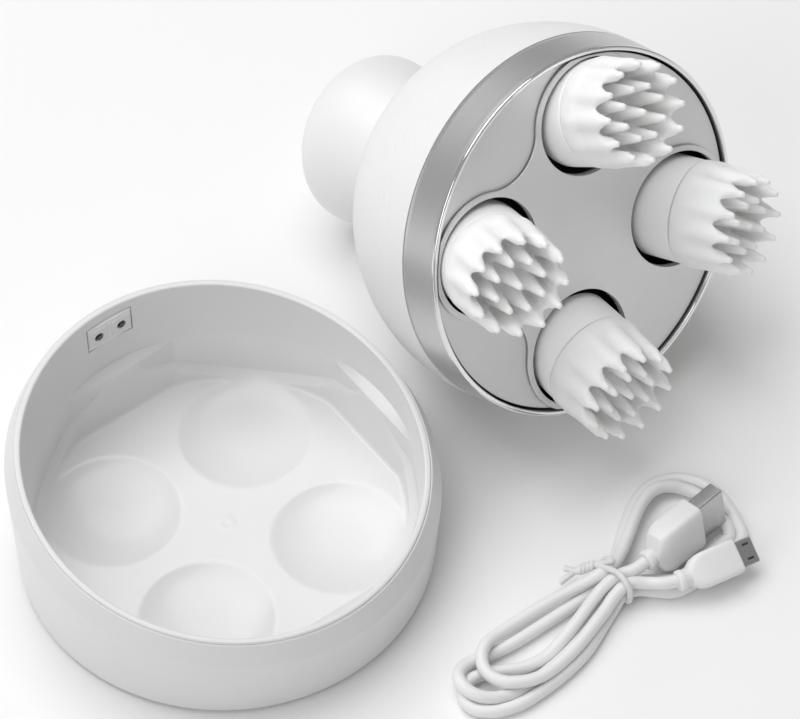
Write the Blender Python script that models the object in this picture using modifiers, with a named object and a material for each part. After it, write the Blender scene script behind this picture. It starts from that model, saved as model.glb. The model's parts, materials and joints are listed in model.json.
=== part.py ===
"""Scalp massager brush with its charging dock and USB lead, in metres, +Z up.

The dock stands on z = 0 with its axis on the world Z axis. The massager lies on its side
beside it, on the same surface. Its own frame is the empty massager_frame: the origin is the
centre of the silver face, local +Z points out of the face, and the handle is at local -Z.
"""

import math

import bmesh
import bpy
from mathutils import Matrix, Vector

MM = 0.001
GAP = 0.3 * MM  # clearance between neighbouring solids
SMOOTH_ANGLE = math.radians(35)
BIG_STEPS = 40  # sides of a large turned piece
SMALL_STEPS = 16  # sides of a small one

# Massager, from the face back to the end of the handle
DOME_R = 49.1 * MM  # outer radius of the dome, a sphere
DOME_CENTRE_Z = -15.0 * MM
DOME_WALL = 1.8 * MM
DOME_FRONT_Z = -11.8 * MM
NECK_R = 17.0 * MM
KNOB_R = 22.8 * MM
KNOB_EDGE_R = 5.5 * MM
KNOB_CORNER_Z = -86.0 * MM  # centre of the rounded edge at the end of the knob
KNOB_WALL = 1.8 * MM
BUTTON_R = 9.2 * MM
BUTTON_TRAVEL = 1.0 * MM
LIGHT_RING_R = 11.2 * MM
FACE_EDGE_R = 48.4 * MM  # the bezel at the face
BEZEL_BACK_R = 49.0 * MM
BEZEL_INNER_R = 47.1 * MM
BEZEL_DEPTH = 11.5 * MM
PLATE_R = 46.8 * MM
CLOVER_TOP_Z = -0.2 * MM
CLOVER_THICK = 0.7 * MM
PLATE_TOP_Z = -1.2 * MM
PLATE_THICK = 1.2 * MM

# The four turning heads
HEAD_COUNT = 4
HEAD_CIRCLE_R = 30.8 * MM
HEAD_PHASE = math.radians(-21.0)
HOLE_R = 15.4 * MM
HEAD_LEAN = math.radians(16.0)  # each head leans out from its spin axis
HEAD_PIVOT_Z = -3.5 * MM  # where the leaning axis crosses the spin axis
COLLAR_R = 13.5 * MM
COLLAR_LOW = -3.0 * MM  # along the leaning axis, from the pivot
COLLAR_TOP = 8.2 * MM
SHAFT_R = 3.0 * MM
SHAFT_LOW_Z = -18.3 * MM
CLAW_LOW = COLLAR_TOP + GAP
CLAW_CROWN = 13.0 * MM
CLAW_TIP = 26.0 * MM
CLAW_R = 13.4 * MM
OUTER_FINGERS = 12
OUTER_FINGER_R = 11.6 * MM
INNER_FINGERS = 8
INNER_FINGER_R = 6.6 * MM
FINGER_ROOT_R = 2.1 * MM
FINGER_TIP_R = 0.8 * MM

# Drive train
CHASSIS_R = 46.8 * MM
CHASSIS_WALL = 1.2 * MM
CHASSIS_TOP_Z = -2.8 * MM
CHASSIS_FLOOR_Z = -11.2 * MM
CHASSIS_LOW_Z = -13.0 * MM
POST_R = 3.4 * MM
POST_CIRCLE_R = 38.5 * MM
SCREW_R = 1.5 * MM
SUN_TEETH = 26
HEAD_TEETH = 18
OUTPUT_MODULE = 2 * HEAD_CIRCLE_R / (SUN_TEETH + HEAD_TEETH)
OUTPUT_GEAR_Z = (-17.6 * MM, -14.0 * MM)
FINAL_TEETH = 24
REDUCTION_PINION_TEETH = 14
REDUCTION_WHEEL_TEETH = 28
MOTOR_PINION_TEETH = 10
REDUCTION_MODULE = 0.8 * MM
REDUCTION_OFFSET = REDUCTION_MODULE * (FINAL_TEETH + REDUCTION_PINION_TEETH) / 2
FINAL_GEAR_Z = (-24.6 * MM, -22.2 * MM)
REDUCTION_PINION_Z = (-28.2 * MM, -21.8 * MM)
REDUCTION_WHEEL_Z = (-30.8 * MM, -28.5 * MM)
BOX_WALL_R = 28.4 * MM
BOX_FLANGE_R = 43.5 * MM
BOX_TOP_Z = -18.9 * MM
BOX_FLOOR_Z = -31.5 * MM
BOX_LOW_Z = -33.0 * MM
MOTOR_R = 12.0 * MM
MOTOR_Z = (-62.0 * MM, -33.6 * MM)

# Dock
RIM_HEIGHT = 34.5 * MM  # mean height of the slanted rim
RIM_SLANT = math.tan(math.radians(9.5))
RIM_HIGH_SIDE = math.radians(138.0)
DOCK_R = 54.0 * MM  # at the crease under the rim
DOCK_BASE_R = 52.8 * MM
BOWL_LIP_R = 49.7 * MM
LEDGE_Z = 22.0 * MM
BOWL_FLOOR_Z = 6.5 * MM
BOWL_LOW_Z = 3.1 * MM
RECESS_PHASE = math.radians(-8.0)
RECESS_CIRCLE_R = 28.5 * MM
RECESS_R = 16.8 * MM
RECESS_DEPTH = 2.3 * MM
FLAT_PHASE = RECESS_PHASE + math.pi / 4
CONTACT_ANGLE = FLAT_PHASE + math.pi / 2
CONTACT_SPREAD = 3.4 * MM  # of each contact from the middle of the pair
DOCK_CONTACT_Z = 35.5 * MM
BAND_CONTACT_Z = -8.0 * MM
RING_POINTS = 56

# Where the massager and the cable lie
MASSAGER_X = 90.0 * MM
MASSAGER_Y = 54.7 * MM
MASSAGER_TURN = math.radians(42.0)  # of the face, from -Y towards +X
CABLE_X = 99.0 * MM
CABLE_Y = -17.0 * MM
CABLE_TURN = math.radians(39.0)
CORD_D = 3.3 * MM


def clear_scene():
    for obj in list(bpy.data.objects):
        bpy.data.objects.remove(obj, do_unlink=True)


def new_collection(name):
    collection = bpy.data.collections.new(name)
    bpy.context.scene.collection.children.link(collection)
    return collection


def material(name, colour, roughness, metallic=0.0):
    made = bpy.data.materials.new(name)
    made.use_nodes = True
    shader = made.node_tree.nodes["Principled BSDF"]
    shader.inputs["Base Color"].default_value = (*colour, 1.0)
    shader.inputs["Roughness"].default_value = roughness
    shader.inputs["Metallic"].default_value = metallic
    made.diffuse_color = (*colour, 1.0)
    return made


clear_scene()
PARTS = new_collection("scalp_massager")
CUTTERS = new_collection("cutters")

WHITE_GLOSS = material("white_gloss", (0.86, 0.86, 0.86), 0.22)
WHITE_MATTE = material("white_matte", (0.84, 0.84, 0.84), 0.45)
SATIN_SILVER = material("satin_silver", (0.62, 0.62, 0.63), 0.32, 1.0)
BAND_SILVER = material("band_silver", (0.70, 0.70, 0.71), 0.22, 1.0)
SILICONE = material("silicone", (0.88, 0.88, 0.87), 0.42)
GREY_PLASTIC = material("grey_plastic", (0.22, 0.22, 0.23), 0.5)
GEAR_PLASTIC = material("gear_plastic", (0.80, 0.78, 0.70), 0.4)
BLACK_RUBBER = material("black_rubber", (0.03, 0.03, 0.03), 0.7)
STEEL = material("steel", (0.55, 0.55, 0.56), 0.3, 1.0)
GOLD = material("gold_contact", (0.83, 0.62, 0.25), 0.25, 1.0)
BOARD_GREEN = material("board_green", (0.04, 0.22, 0.10), 0.4)
BATTERY_BLUE = material("battery_wrap", (0.10, 0.25, 0.45), 0.35)
LIGHT_PLASTIC = material("light_ring", (0.75, 0.88, 0.95), 0.3)
CORD_WHITE = material("cord_white", (0.82, 0.82, 0.82), 0.4)


def add(name, mesh_or_curve, finish, parent=None):
    """A visible part, placed under its parent."""
    obj = bpy.data.objects.new(name, mesh_or_curve)
    obj.data.materials.append(finish)
    obj.parent = parent
    PARTS.objects.link(obj)
    return obj


def add_cutter(name, mesh, parent=None):
    """A hidden helper for a Boolean modifier."""
    obj = bpy.data.objects.new(name, mesh)
    obj.parent = parent
    obj.hide_render = True
    obj.display_type = "WIRE"
    CUTTERS.objects.link(obj)
    return obj


def empty(name, parent, matrix):
    made = bpy.data.objects.new(name, None)
    made.empty_display_size = 5 * MM
    made.parent = parent
    made.matrix_local = matrix
    PARTS.objects.link(made)
    return made


def boolean(obj, operation, cutter):
    modifier = obj.modifiers.new(cutter.name, "BOOLEAN")
    modifier.operation = operation
    modifier.object = cutter
    modifier.solver = "EXACT"


def smooth(mesh):
    mesh.shade_smooth()
    mesh.set_sharp_from_angle(angle=SMOOTH_ANGLE)


def mesh_from(name, fill):
    """A new mesh made by fill(bm), shaded smooth."""
    bm = bmesh.new()
    fill(bm)
    mesh = bpy.data.meshes.new(name)
    bm.to_mesh(mesh)
    bm.free()
    smooth(mesh)
    return mesh


def turned(name, profile, finish=None, parent=None, steps=BIG_STEPS):
    """A profile of (radius, height) turned about local Z. One that starts off the axis is a closed ring.

    With no finish it is a hidden cutter.
    """
    ahead = profile[1:] + profile[:1]
    area = sum(a[0] * b[1] - b[0] * a[1] for a, b in zip(profile, ahead))
    points = profile if area < 0 else profile[::-1]
    ring = points[0][0] > 0
    edges = [(i, i + 1) for i in range(len(points) - 1)]
    if ring:
        edges.append((len(points) - 1, 0))
    mesh = bpy.data.meshes.new(name)
    mesh.from_pydata([(r, 0, z) for r, z in points], edges, [])
    obj = add(name, mesh, finish, parent) if finish else add_cutter(name, mesh, parent)
    screw = obj.modifiers.new("Turn", "SCREW")
    screw.steps = steps
    screw.render_steps = steps
    screw.use_merge_vertices = True
    screw.merge_threshold = 0.00001
    return obj


def arc(centre_r, centre_z, radius, start, end, count):
    """Profile points on an arc, angles in degrees from the outward direction, positive upward."""
    angles = [math.radians(start + (end - start) * i / count) for i in range(count + 1)]
    return [(centre_r + radius * math.cos(a), centre_z + radius * math.sin(a)) for a in angles]


def rod(bm, radius, low, high, sides=SMALL_STEPS, place=Matrix.Identity(4), tip=None):
    """Adds a cylinder, or a cone with a tip radius, along local Z."""
    middle = Matrix.Translation((0, 0, (low + high) / 2))
    bmesh.ops.create_cone(
        bm,
        cap_ends=True,
        segments=sides,
        radius1=radius,
        radius2=radius if tip is None else tip,
        depth=high - low,
        matrix=place @ middle,
    )


def rods(name, radius, low, high, places, sides=SMALL_STEPS):
    """One mesh that holds a cylinder at each place."""

    def fill(bm):
        for place in places:
            rod(bm, radius, low, high, sides, place)

    return mesh_from(name, fill)


def block(name, size, centre, bevel=0.0):
    """A box mesh, with its edges rounded where bevel is given."""

    def fill(bm):
        scale = Matrix.Diagonal((*size, 1.0))
        bmesh.ops.create_cube(bm, size=1.0, matrix=Matrix.Translation(centre) @ scale)
        if bevel:
            bmesh.ops.bevel(bm, geom=bm.edges[:], offset=bevel, segments=2, profile=0.5, affect="EDGES")

    return mesh_from(name, fill)


def spun(angle, radius=0.0, height=0.0):
    """A place turned by angle about Z and moved out along the turned X."""
    return Matrix.Rotation(angle, 4, "Z") @ Matrix.Translation((radius, 0, height))


def flat_curve(name, outlines, low, high):
    """A 2D curve filled between closed outlines; the first is the outside and the rest are holes."""
    curve = bpy.data.curves.new(name, "CURVE")
    curve.dimensions = "2D"
    curve.fill_mode = "BOTH"
    curve.extrude = (high - low) / 2
    for outline in outlines:
        spline = curve.splines.new("POLY")
        spline.points.add(len(outline) - 1)
        for point, (x, y) in zip(spline.points, outline):
            point.co = (x, y, 0, 1)
        spline.use_cyclic_u = True
    return curve


def circle(radius, count, centre=(0.0, 0.0)):
    turn = 2 * math.pi / count
    return [
        (centre[0] + radius * math.cos(i * turn), centre[1] + radius * math.sin(i * turn))
        for i in range(count)
    ]


def as_mesh(obj):
    """Turns a curve object into a welded mesh object of the same name and place."""
    name = obj.name
    graph = bpy.context.evaluated_depsgraph_get()
    mesh = bpy.data.meshes.new_from_object(obj.evaluated_get(graph))
    bm = bmesh.new()
    bm.from_mesh(mesh)
    bmesh.ops.remove_doubles(bm, verts=bm.verts[:], dist=0.00001)
    bm.to_mesh(mesh)
    bm.free()
    finish = obj.data.materials[0]
    parent = obj.parent
    place = obj.matrix_local.copy()
    bpy.data.objects.remove(obj, do_unlink=True)
    mesh.materials.clear()
    smooth(mesh)
    made = add(name, mesh, finish, parent)
    made.matrix_local = place
    return made


def gear_outline(teeth, module, phase):
    """Trapezoid teeth with backlash; a tooth's middle is at the phase angle."""
    pitch_r = teeth * module / 2
    levels = ((-1.15, 0.60), (0.8, 0.21))  # height in modules, width as a share of the pitch
    sides = [(pitch_r + h * module, math.pi * w / teeth) for h, w in levels]
    outline = []
    for tooth in range(teeth):
        middle = phase + tooth * 2 * math.pi / teeth
        outline += [(r, middle - half) for r, half in sides]
        outline += [(r, middle + half) for r, half in reversed(sides)]
    return [(r * math.cos(a), r * math.sin(a)) for r, a in outline]


def gear(name, teeth, module, heights, bore, phase, parent):
    """A flat spur gear with a round bore."""
    outlines = [gear_outline(teeth, module, phase), circle(bore, SMALL_STEPS)]
    obj = add(name, flat_curve(name, outlines, *heights), GEAR_PLASTIC, parent)
    obj.location.z = sum(heights) / 2
    return obj


def meshing_phase(driver_teeth, driver_phase, teeth, bearing):
    """The phase of a gear at a bearing from its driver, where its gap meets the driver's tooth."""
    shift = driver_teeth * (driver_phase - bearing) + math.pi
    return bearing + math.pi - shift / teeth


# ---------------------------------------------------------------- massager: placing it


def lying_tilt():
    """How far the axis tips up when the dome and the edge of the knob both touch the ground."""
    along = DOME_CENTRE_Z - KNOB_CORNER_Z
    across = KNOB_R - KNOB_EDGE_R
    reach = math.asin((DOME_R - KNOB_EDGE_R) / math.hypot(along, across))
    return reach - math.atan2(across, along)


def massager_place():
    tilt = lying_tilt()
    flat = math.cos(tilt)
    out = Vector((flat * math.sin(MASSAGER_TURN), -flat * math.cos(MASSAGER_TURN), math.sin(tilt)))
    side = Vector((0, 0, 1)).cross(out).normalized()
    turn = Matrix((side, out.cross(side), out)).transposed().to_4x4()
    height = DOME_R - DOME_CENTRE_Z * math.sin(tilt)
    return Matrix.Translation((MASSAGER_X, MASSAGER_Y, height)) @ turn


MASSAGER = empty("massager_frame", None, massager_place())


def head_angle(index):
    return HEAD_PHASE + index * 2 * math.pi / HEAD_COUNT


HEAD_PLACES = [spun(head_angle(i), HEAD_CIRCLE_R) for i in range(HEAD_COUNT)]
POST_PLACES = [spun(head_angle(i) + math.pi / HEAD_COUNT, POST_CIRCLE_R) for i in range(HEAD_COUNT)]


# ---------------------------------------------------------------- massager: housings


def dome_housing():
    inner_r = DOME_R - DOME_WALL
    front = math.degrees(math.asin((DOME_FRONT_Z - DOME_CENTRE_Z) / DOME_R))
    back = -math.degrees(math.acos(NECK_R / DOME_R))
    inner_front = math.degrees(math.asin((DOME_FRONT_Z - DOME_CENTRE_Z) / inner_r))
    inner_back = -math.degrees(math.acos((NECK_R - DOME_WALL) / inner_r))
    outside = arc(0, DOME_CENTRE_Z, DOME_R, front, back, 9)
    inside = arc(0, DOME_CENTRE_Z, inner_r, inner_back, inner_front, 6)
    turned("dome_housing", outside + inside, WHITE_MATTE, MASSAGER)


def knob_shell():
    start_z = DOME_CENTRE_Z - math.sqrt(DOME_R**2 - NECK_R**2) - GAP
    flare = KNOB_CORNER_Z - start_z
    rise = KNOB_R - NECK_R
    outside = []
    inside = []
    for i in range(6):
        share = i / 5
        r = NECK_R + rise * (1 - math.cos(math.pi * share)) / 2
        outside.append((r, start_z + flare * share))
        inside.append((r - KNOB_WALL, start_z + flare * share))
    edge = arc(KNOB_R - KNOB_EDGE_R, KNOB_CORNER_Z, KNOB_EDGE_R, 0, -90, 4)
    inner_edge = arc(KNOB_R - KNOB_EDGE_R, KNOB_CORNER_Z, KNOB_EDGE_R - KNOB_WALL, 0, -90, 3)
    end_z = KNOB_CORNER_Z - KNOB_EDGE_R
    hole_r = LIGHT_RING_R + GAP
    hole = [(hole_r, end_z - 0.5 * MM), (hole_r, end_z + KNOB_WALL)]
    profile = outside + edge[1:] + hole + inner_edge[::-1][:-1] + inside[::-1]
    turned("knob_shell", profile, WHITE_GLOSS, MASSAGER, 32)


def knob_end():
    end_z = KNOB_CORNER_Z - KNOB_EDGE_R
    ring_in = BUTTON_R + GAP
    ring = [(ring_in, end_z - 0.5 * MM), (LIGHT_RING_R, end_z - 0.5 * MM)]
    ring += [(LIGHT_RING_R, end_z + 1.6 * MM), (ring_in, end_z + 1.6 * MM)]
    turned("light_ring", ring, LIGHT_PLASTIC, MASSAGER, 24)
    button_z = end_z - 1.0 * MM
    button = [(0, button_z - 0.4 * MM), (BUTTON_R * 0.6, button_z - 0.25 * MM)]
    button.append((BUTTON_R - 0.6 * MM, button_z))
    button += [(BUTTON_R, button_z + 0.6 * MM), (BUTTON_R, end_z + 1.6 * MM), (0, end_z + 1.6 * MM)]
    turned("power_button", button, WHITE_GLOSS, MASSAGER, 24)
    switch_low = end_z + 1.6 * MM + BUTTON_TRAVEL + GAP
    size = (6.0 * MM, 6.0 * MM, 3.2 * MM)
    centre = (0, 0, switch_low + size[2] / 2)
    add("tact_switch", block("tact_switch", size, centre), BLACK_RUBBER, MASSAGER)
    board_z = switch_low + size[2] + GAP
    board = [(0, board_z), (15.0 * MM, board_z), (15.0 * MM, board_z + 1.2 * MM), (0, board_z + 1.2 * MM)]
    turned("switch_board", board, BOARD_GREEN, MASSAGER, SMALL_STEPS)


def bezel_ring():
    profile = [
        (BEZEL_INNER_R + 0.4 * MM, 0),
        (FACE_EDGE_R - 0.3 * MM, 0),
        (FACE_EDGE_R, -0.4 * MM),
        (BEZEL_BACK_R, -BEZEL_DEPTH),
        (BEZEL_INNER_R, -BEZEL_DEPTH),
        (BEZEL_INNER_R, -0.8 * MM),
    ]
    ring = turned("bezel_ring", profile, BAND_SILVER, MASSAGER, 48)
    holes = rods("band_contact_holes", 2.5 * MM, 40.0 * MM, 52.0 * MM, band_contact_places(), 12)
    boolean(ring, "DIFFERENCE", add_cutter("band_contact_holes", holes, MASSAGER))


def band_contact_places():
    """Each contact lies along its own Z, radially out through the band."""
    angle = head_angle(0) - math.pi / HEAD_COUNT
    outward = Matrix.Rotation(math.pi / 2, 4, "Y")
    return [
        Matrix.Rotation(angle + side * CONTACT_SPREAD / BEZEL_BACK_R, 4, "Z")
        @ Matrix.Translation((0, 0, BAND_CONTACT_Z))
        @ outward
        for side in (-1, 1)
    ]


def charge_contacts():
    for index, place in enumerate(band_contact_places()):
        mesh = rods("charge_contact", 2.1 * MM, 47.2 * MM, 49.2 * MM, [Matrix.Identity(4)], 12)
        add(f"charge_contact_{index + 1}", mesh, GOLD, MASSAGER).matrix_local = place


# ---------------------------------------------------------------- massager: face


def plate_holes():
    return [circle(HOLE_R, 32, tuple(place.translation)[:2]) for place in HEAD_PLACES]


def face_plate():
    outlines = [circle(PLATE_R, 72)] + plate_holes()
    heights = (PLATE_TOP_Z - PLATE_THICK, PLATE_TOP_Z)
    plate = add("face_plate", flat_curve("face_plate", outlines, *heights), SATIN_SILVER, MASSAGER)
    plate.location.z = sum(heights) / 2


def clover_outline():
    """Four lobes round the holes, joined by hollow arcs and cut off at the rim of the plate."""
    lobe_r = HOLE_R + 1.5 * MM
    hollow_r = 12.0 * MM
    half = HEAD_CIRCLE_R * math.sin(math.pi / HEAD_COUNT)
    along = HEAD_CIRCLE_R * math.cos(math.pi / HEAD_COUNT)
    hollow_x = along + math.sqrt((lobe_r + hollow_r) ** 2 - half**2)
    meet = math.atan2(half, hollow_x - along)
    points = []
    for index in range(HEAD_COUNT):
        angle = head_angle(index)
        lobe = spun(angle, HEAD_CIRCLE_R)
        reach = meet + math.pi / HEAD_COUNT
        for i in range(19):
            a = reach * (i / 9 - 1)
            points.append(lobe @ Vector((lobe_r * math.cos(a), lobe_r * math.sin(a), 0)))
        hollow = spun(angle + math.pi / HEAD_COUNT, hollow_x)
        for i in range(1, 8):
            a = math.pi + meet * (1 - i / 4)
            points.append(hollow @ Vector((hollow_r * math.cos(a), hollow_r * math.sin(a), 0)))
    limit = PLATE_R
    return [tuple(p.xy * min(1.0, limit / p.length)) for p in points]


def clover_plate():
    outlines = [clover_outline()] + plate_holes()
    heights = (CLOVER_TOP_Z - CLOVER_THICK, CLOVER_TOP_Z)
    plate = add("clover_plate", flat_curve("clover_plate", outlines, *heights), SATIN_SILVER, MASSAGER)
    plate.location.z = sum(heights) / 2


# ---------------------------------------------------------------- massager: heads


def leaning():
    """From a head's spin axis frame to its leaning frame, whose origin is the pivot."""
    return Matrix.Translation((0, 0, HEAD_PIVOT_Z)) @ Matrix.Rotation(HEAD_LEAN, 4, "Y")


def seat_mesh():
    def fill(bm):
        rod(bm, SHAFT_R, SHAFT_LOW_Z, HEAD_PIVOT_Z)

    return mesh_from("claw_seat", fill)


def claw_fingers():
    """Outer and inner fingers as one mesh of separate tapered pegs, in the leaning frame."""

    def fill(bm):
        rings = [(OUTER_FINGERS, OUTER_FINGER_R, 0.5, CLAW_TIP)]
        rings.append((INNER_FINGERS, INNER_FINGER_R, 0.0, CLAW_TIP - 1 * MM))
        for count, radius, offset, tip in rings:
            for i in range(count):
                place = spun((i + offset) * 2 * math.pi / count, radius)
                rod(bm, FINGER_ROOT_R, CLAW_LOW + 2 * MM, tip, 5, place, FINGER_TIP_R)
        rod(bm, FINGER_ROOT_R, CLAW_LOW + 2 * MM, CLAW_TIP - 2 * MM, 5, Matrix.Identity(4), FINGER_TIP_R)

    return mesh_from("claw_fingers", fill)


def heads():
    collar = [(0, COLLAR_TOP), (COLLAR_R - 0.5 * MM, COLLAR_TOP), (COLLAR_R, COLLAR_TOP - 0.5 * MM)]
    collar += [(COLLAR_R, COLLAR_LOW), (0, COLLAR_LOW)]
    crown_floor = CLAW_CROWN - 1 * MM
    crown = [(0, crown_floor), (CLAW_R - 4.4 * MM, crown_floor), (CLAW_R - 3.6 * MM, CLAW_CROWN)]
    crown += [(CLAW_R - 0.8 * MM, CLAW_CROWN), (CLAW_R, CLAW_CROWN - 1.5 * MM)]
    crown += [(CLAW_R, CLAW_LOW + 0.5 * MM), (CLAW_R - 0.5 * MM, CLAW_LOW), (0, CLAW_LOW)]
    for index, place in enumerate(HEAD_PLACES):
        number = index + 1
        spin = empty(f"head_{number}_spin_axis", MASSAGER, place)
        lean = empty(f"head_{number}_lean", spin, leaning())
        seat = turned(f"claw_seat_{number}", collar, WHITE_GLOSS, lean, 24)
        shaft = add_cutter(f"seat_shaft_{number}", seat_mesh(), spin)
        boolean(seat, "UNION", shaft)
        claw = turned(f"claw_{number}", crown, SILICONE, lean, 24)
        fingers = add_cutter(f"claw_fingers_{number}", claw_fingers(), lean)
        boolean(claw, "UNION", fingers)
        seal_z = CHASSIS_FLOOR_Z + GAP
        seal = [(SHAFT_R + GAP, seal_z), (SHAFT_R + 2.4 * MM, seal_z)]
        seal += [(SHAFT_R + 2.4 * MM, seal_z + 0.8 * MM), (SHAFT_R + GAP, seal_z + 1.4 * MM)]
        turned(f"shaft_seal_{number}", seal, BLACK_RUBBER, spin, SMALL_STEPS)


# ---------------------------------------------------------------- massager: drive


def chassis():
    inner_r = CHASSIS_R - CHASSIS_WALL
    profile = [(0, CHASSIS_FLOOR_Z), (inner_r, CHASSIS_FLOOR_Z), (inner_r, CHASSIS_TOP_Z)]
    profile += [(CHASSIS_R, CHASSIS_TOP_Z), (CHASSIS_R, CHASSIS_LOW_Z), (0, CHASSIS_LOW_Z)]
    pan = turned("chassis", profile, GREY_PLASTIC, MASSAGER)
    posts = rods("chassis_posts", POST_R, BOX_TOP_Z + GAP, CHASSIS_LOW_Z + 1 * MM, POST_PLACES, 16)
    boolean(pan, "UNION", add_cutter("chassis_posts", posts, MASSAGER))
    bores = rods("shaft_bores", SHAFT_R + GAP, CHASSIS_LOW_Z - 1 * MM, CHASSIS_FLOOR_Z + 1 * MM, HEAD_PLACES)
    boolean(pan, "DIFFERENCE", add_cutter("shaft_bores", bores, MASSAGER))
    holes = rods("post_holes", SCREW_R + GAP, BOX_TOP_Z - 1 * MM, CHASSIS_LOW_Z, POST_PLACES, 12)
    boolean(pan, "DIFFERENCE", add_cutter("post_holes", holes, MASSAGER))


def output_gears():
    """The sun gear on the centre shaft and the four gears round it."""
    sun = gear("sun_gear", SUN_TEETH, OUTPUT_MODULE, OUTPUT_GEAR_Z, SHAFT_R - 1 * MM, 0.0, MASSAGER)
    sun = as_mesh(sun)
    shaft_z = (FINAL_GEAR_Z[0] - 2 * MM, OUTPUT_GEAR_Z[1] - 0.5 * MM)
    shaft = rods("sun_shaft", SHAFT_R, *shaft_z, [Matrix.Identity(4)])
    boolean(sun, "UNION", add_cutter("sun_shaft", shaft, MASSAGER))
    for index, place in enumerate(HEAD_PLACES):
        bearing = head_angle(index)
        phase = meshing_phase(SUN_TEETH, 0.0, HEAD_TEETH, bearing) - bearing
        spin = bpy.data.objects[f"head_{index + 1}_spin_axis"]
        gear(f"head_gear_{index + 1}", HEAD_TEETH, OUTPUT_MODULE, OUTPUT_GEAR_Z, SHAFT_R + GAP, phase, spin)


def reduction():
    """Motor pinion, reduction pair and final wheel; the pair turns on a pin beside the axis."""
    pin_place = Matrix.Translation((REDUCTION_OFFSET, 0, 0))
    axis = empty("reduction_axis", MASSAGER, pin_place)
    gear("final_wheel", FINAL_TEETH, REDUCTION_MODULE, FINAL_GEAR_Z, SHAFT_R + GAP, 0.0, MASSAGER)
    phase = meshing_phase(FINAL_TEETH, 0.0, REDUCTION_PINION_TEETH, 0.0)
    pin_r = 1.5 * MM
    bore = pin_r + GAP
    gear("reduction_pinion", REDUCTION_PINION_TEETH, REDUCTION_MODULE, REDUCTION_PINION_Z, bore, phase, axis)
    gear("reduction_wheel", REDUCTION_WHEEL_TEETH, REDUCTION_MODULE, REDUCTION_WHEEL_Z, bore, 0.0, axis)
    pin_z = (BOX_FLOOR_Z + GAP, REDUCTION_PINION_Z[1] + 1 * MM)
    pin = rods("reduction_pin", pin_r, *pin_z, [Matrix.Identity(4)], 12)
    add("reduction_pin", pin, STEEL, axis)
    phase = meshing_phase(REDUCTION_WHEEL_TEETH, 0.0, MOTOR_PINION_TEETH, math.pi)
    size = (MOTOR_PINION_TEETH, REDUCTION_MODULE, REDUCTION_WHEEL_Z, 0.7 * MM)
    pinion = gear("motor_pinion", *size, phase, MASSAGER)
    pinion = as_mesh(pinion)
    shaft_z = (MOTOR_Z[1] + GAP, REDUCTION_WHEEL_Z[1] - 0.5 * MM)
    shaft = rods("motor_shaft", 1.0 * MM, *shaft_z, [Matrix.Identity(4)], 12)
    boolean(pinion, "UNION", add_cutter("motor_shaft", shaft, MASSAGER))


def gearbox_and_motor():
    wall = 1.5 * MM
    profile = [
        (BOX_WALL_R, BOX_TOP_Z),
        (BOX_FLANGE_R, BOX_TOP_Z),
        (BOX_FLANGE_R, BOX_TOP_Z - wall),
        (BOX_WALL_R + wall, BOX_TOP_Z - wall),
        (BOX_WALL_R + wall, BOX_LOW_Z),
        (1.6 * MM, BOX_LOW_Z),
        (1.6 * MM, BOX_FLOOR_Z),
        (BOX_WALL_R, BOX_FLOOR_Z),
    ]
    cover = turned("gearbox_cover", profile, GREY_PLASTIC, MASSAGER)
    holes = rods("flange_holes", SCREW_R + GAP, BOX_TOP_Z - 4 * MM, BOX_TOP_Z + 1 * MM, POST_PLACES, 12)
    boolean(cover, "DIFFERENCE", add_cutter("flange_holes", holes, MASSAGER))
    low, high = MOTOR_Z
    motor = [(0, high), (MOTOR_R - 0.8 * MM, high), (MOTOR_R, high - 0.8 * MM), (MOTOR_R, low + 2 * MM)]
    motor += [(MOTOR_R - 2 * MM, low + 2 * MM), (MOTOR_R - 2 * MM, low), (0, low)]
    turned("motor", motor, STEEL, MASSAGER, 32)
    head_low = BOX_TOP_Z - wall - 1.8 * MM - GAP
    screw = [(0, CHASSIS_LOW_Z - 1 * MM), (SCREW_R, CHASSIS_LOW_Z - 1 * MM), (SCREW_R, head_low + 1.8 * MM)]
    screw += [(2.8 * MM, head_low + 1.8 * MM), (2.8 * MM, head_low + 0.4 * MM)]
    screw += [(2.3 * MM, head_low), (0, head_low)]
    for index, place in enumerate(POST_PLACES):
        turned(f"gearbox_screw_{index + 1}", screw, STEEL, MASSAGER, 12).matrix_local = place


def electrics():
    top = BOX_LOW_Z - 1.2 * MM
    battery_size = (32 * MM, 6.5 * MM, 18.8 * MM)
    centre = (0, MOTOR_R + 1.5 * MM + battery_size[1] / 2, top - battery_size[2] / 2)
    add("battery", block("battery", battery_size, centre, 1.0 * MM), BATTERY_BLUE, MASSAGER)
    board_size = (30 * MM, 1.6 * MM, 20 * MM)
    centre = (0, -MOTOR_R - 1.5 * MM - board_size[1] / 2, top - board_size[2] / 2)
    add("control_board", block("control_board", board_size, centre), BOARD_GREEN, MASSAGER)
    ring = arc(45.4 * MM, CHASSIS_LOW_Z - 1.1 * MM, 0.7 * MM, 0, 288, 4)
    turned("housing_o_ring", ring, BLACK_RUBBER, MASSAGER, 32)


# ---------------------------------------------------------------- dock


def skinned(name, rings, finish):
    """A closed body from rings of points, each joined to the next, with both ends filled."""

    def fill(bm):
        rows = [[bm.verts.new(p) for p in ring] for ring in rings]
        count = len(rows[0])
        for below, above in zip(rows, rows[1:]):
            for i in range(count):
                j = (i + 1) % count
                bm.faces.new((below[i], below[j], above[j], above[i]))
        bm.faces.new(rows[0][::-1])
        bm.faces.new(rows[-1])
        bmesh.ops.recalc_face_normals(bm, faces=bm.faces[:])

    return add(name, mesh_from(name, fill), finish)


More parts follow.
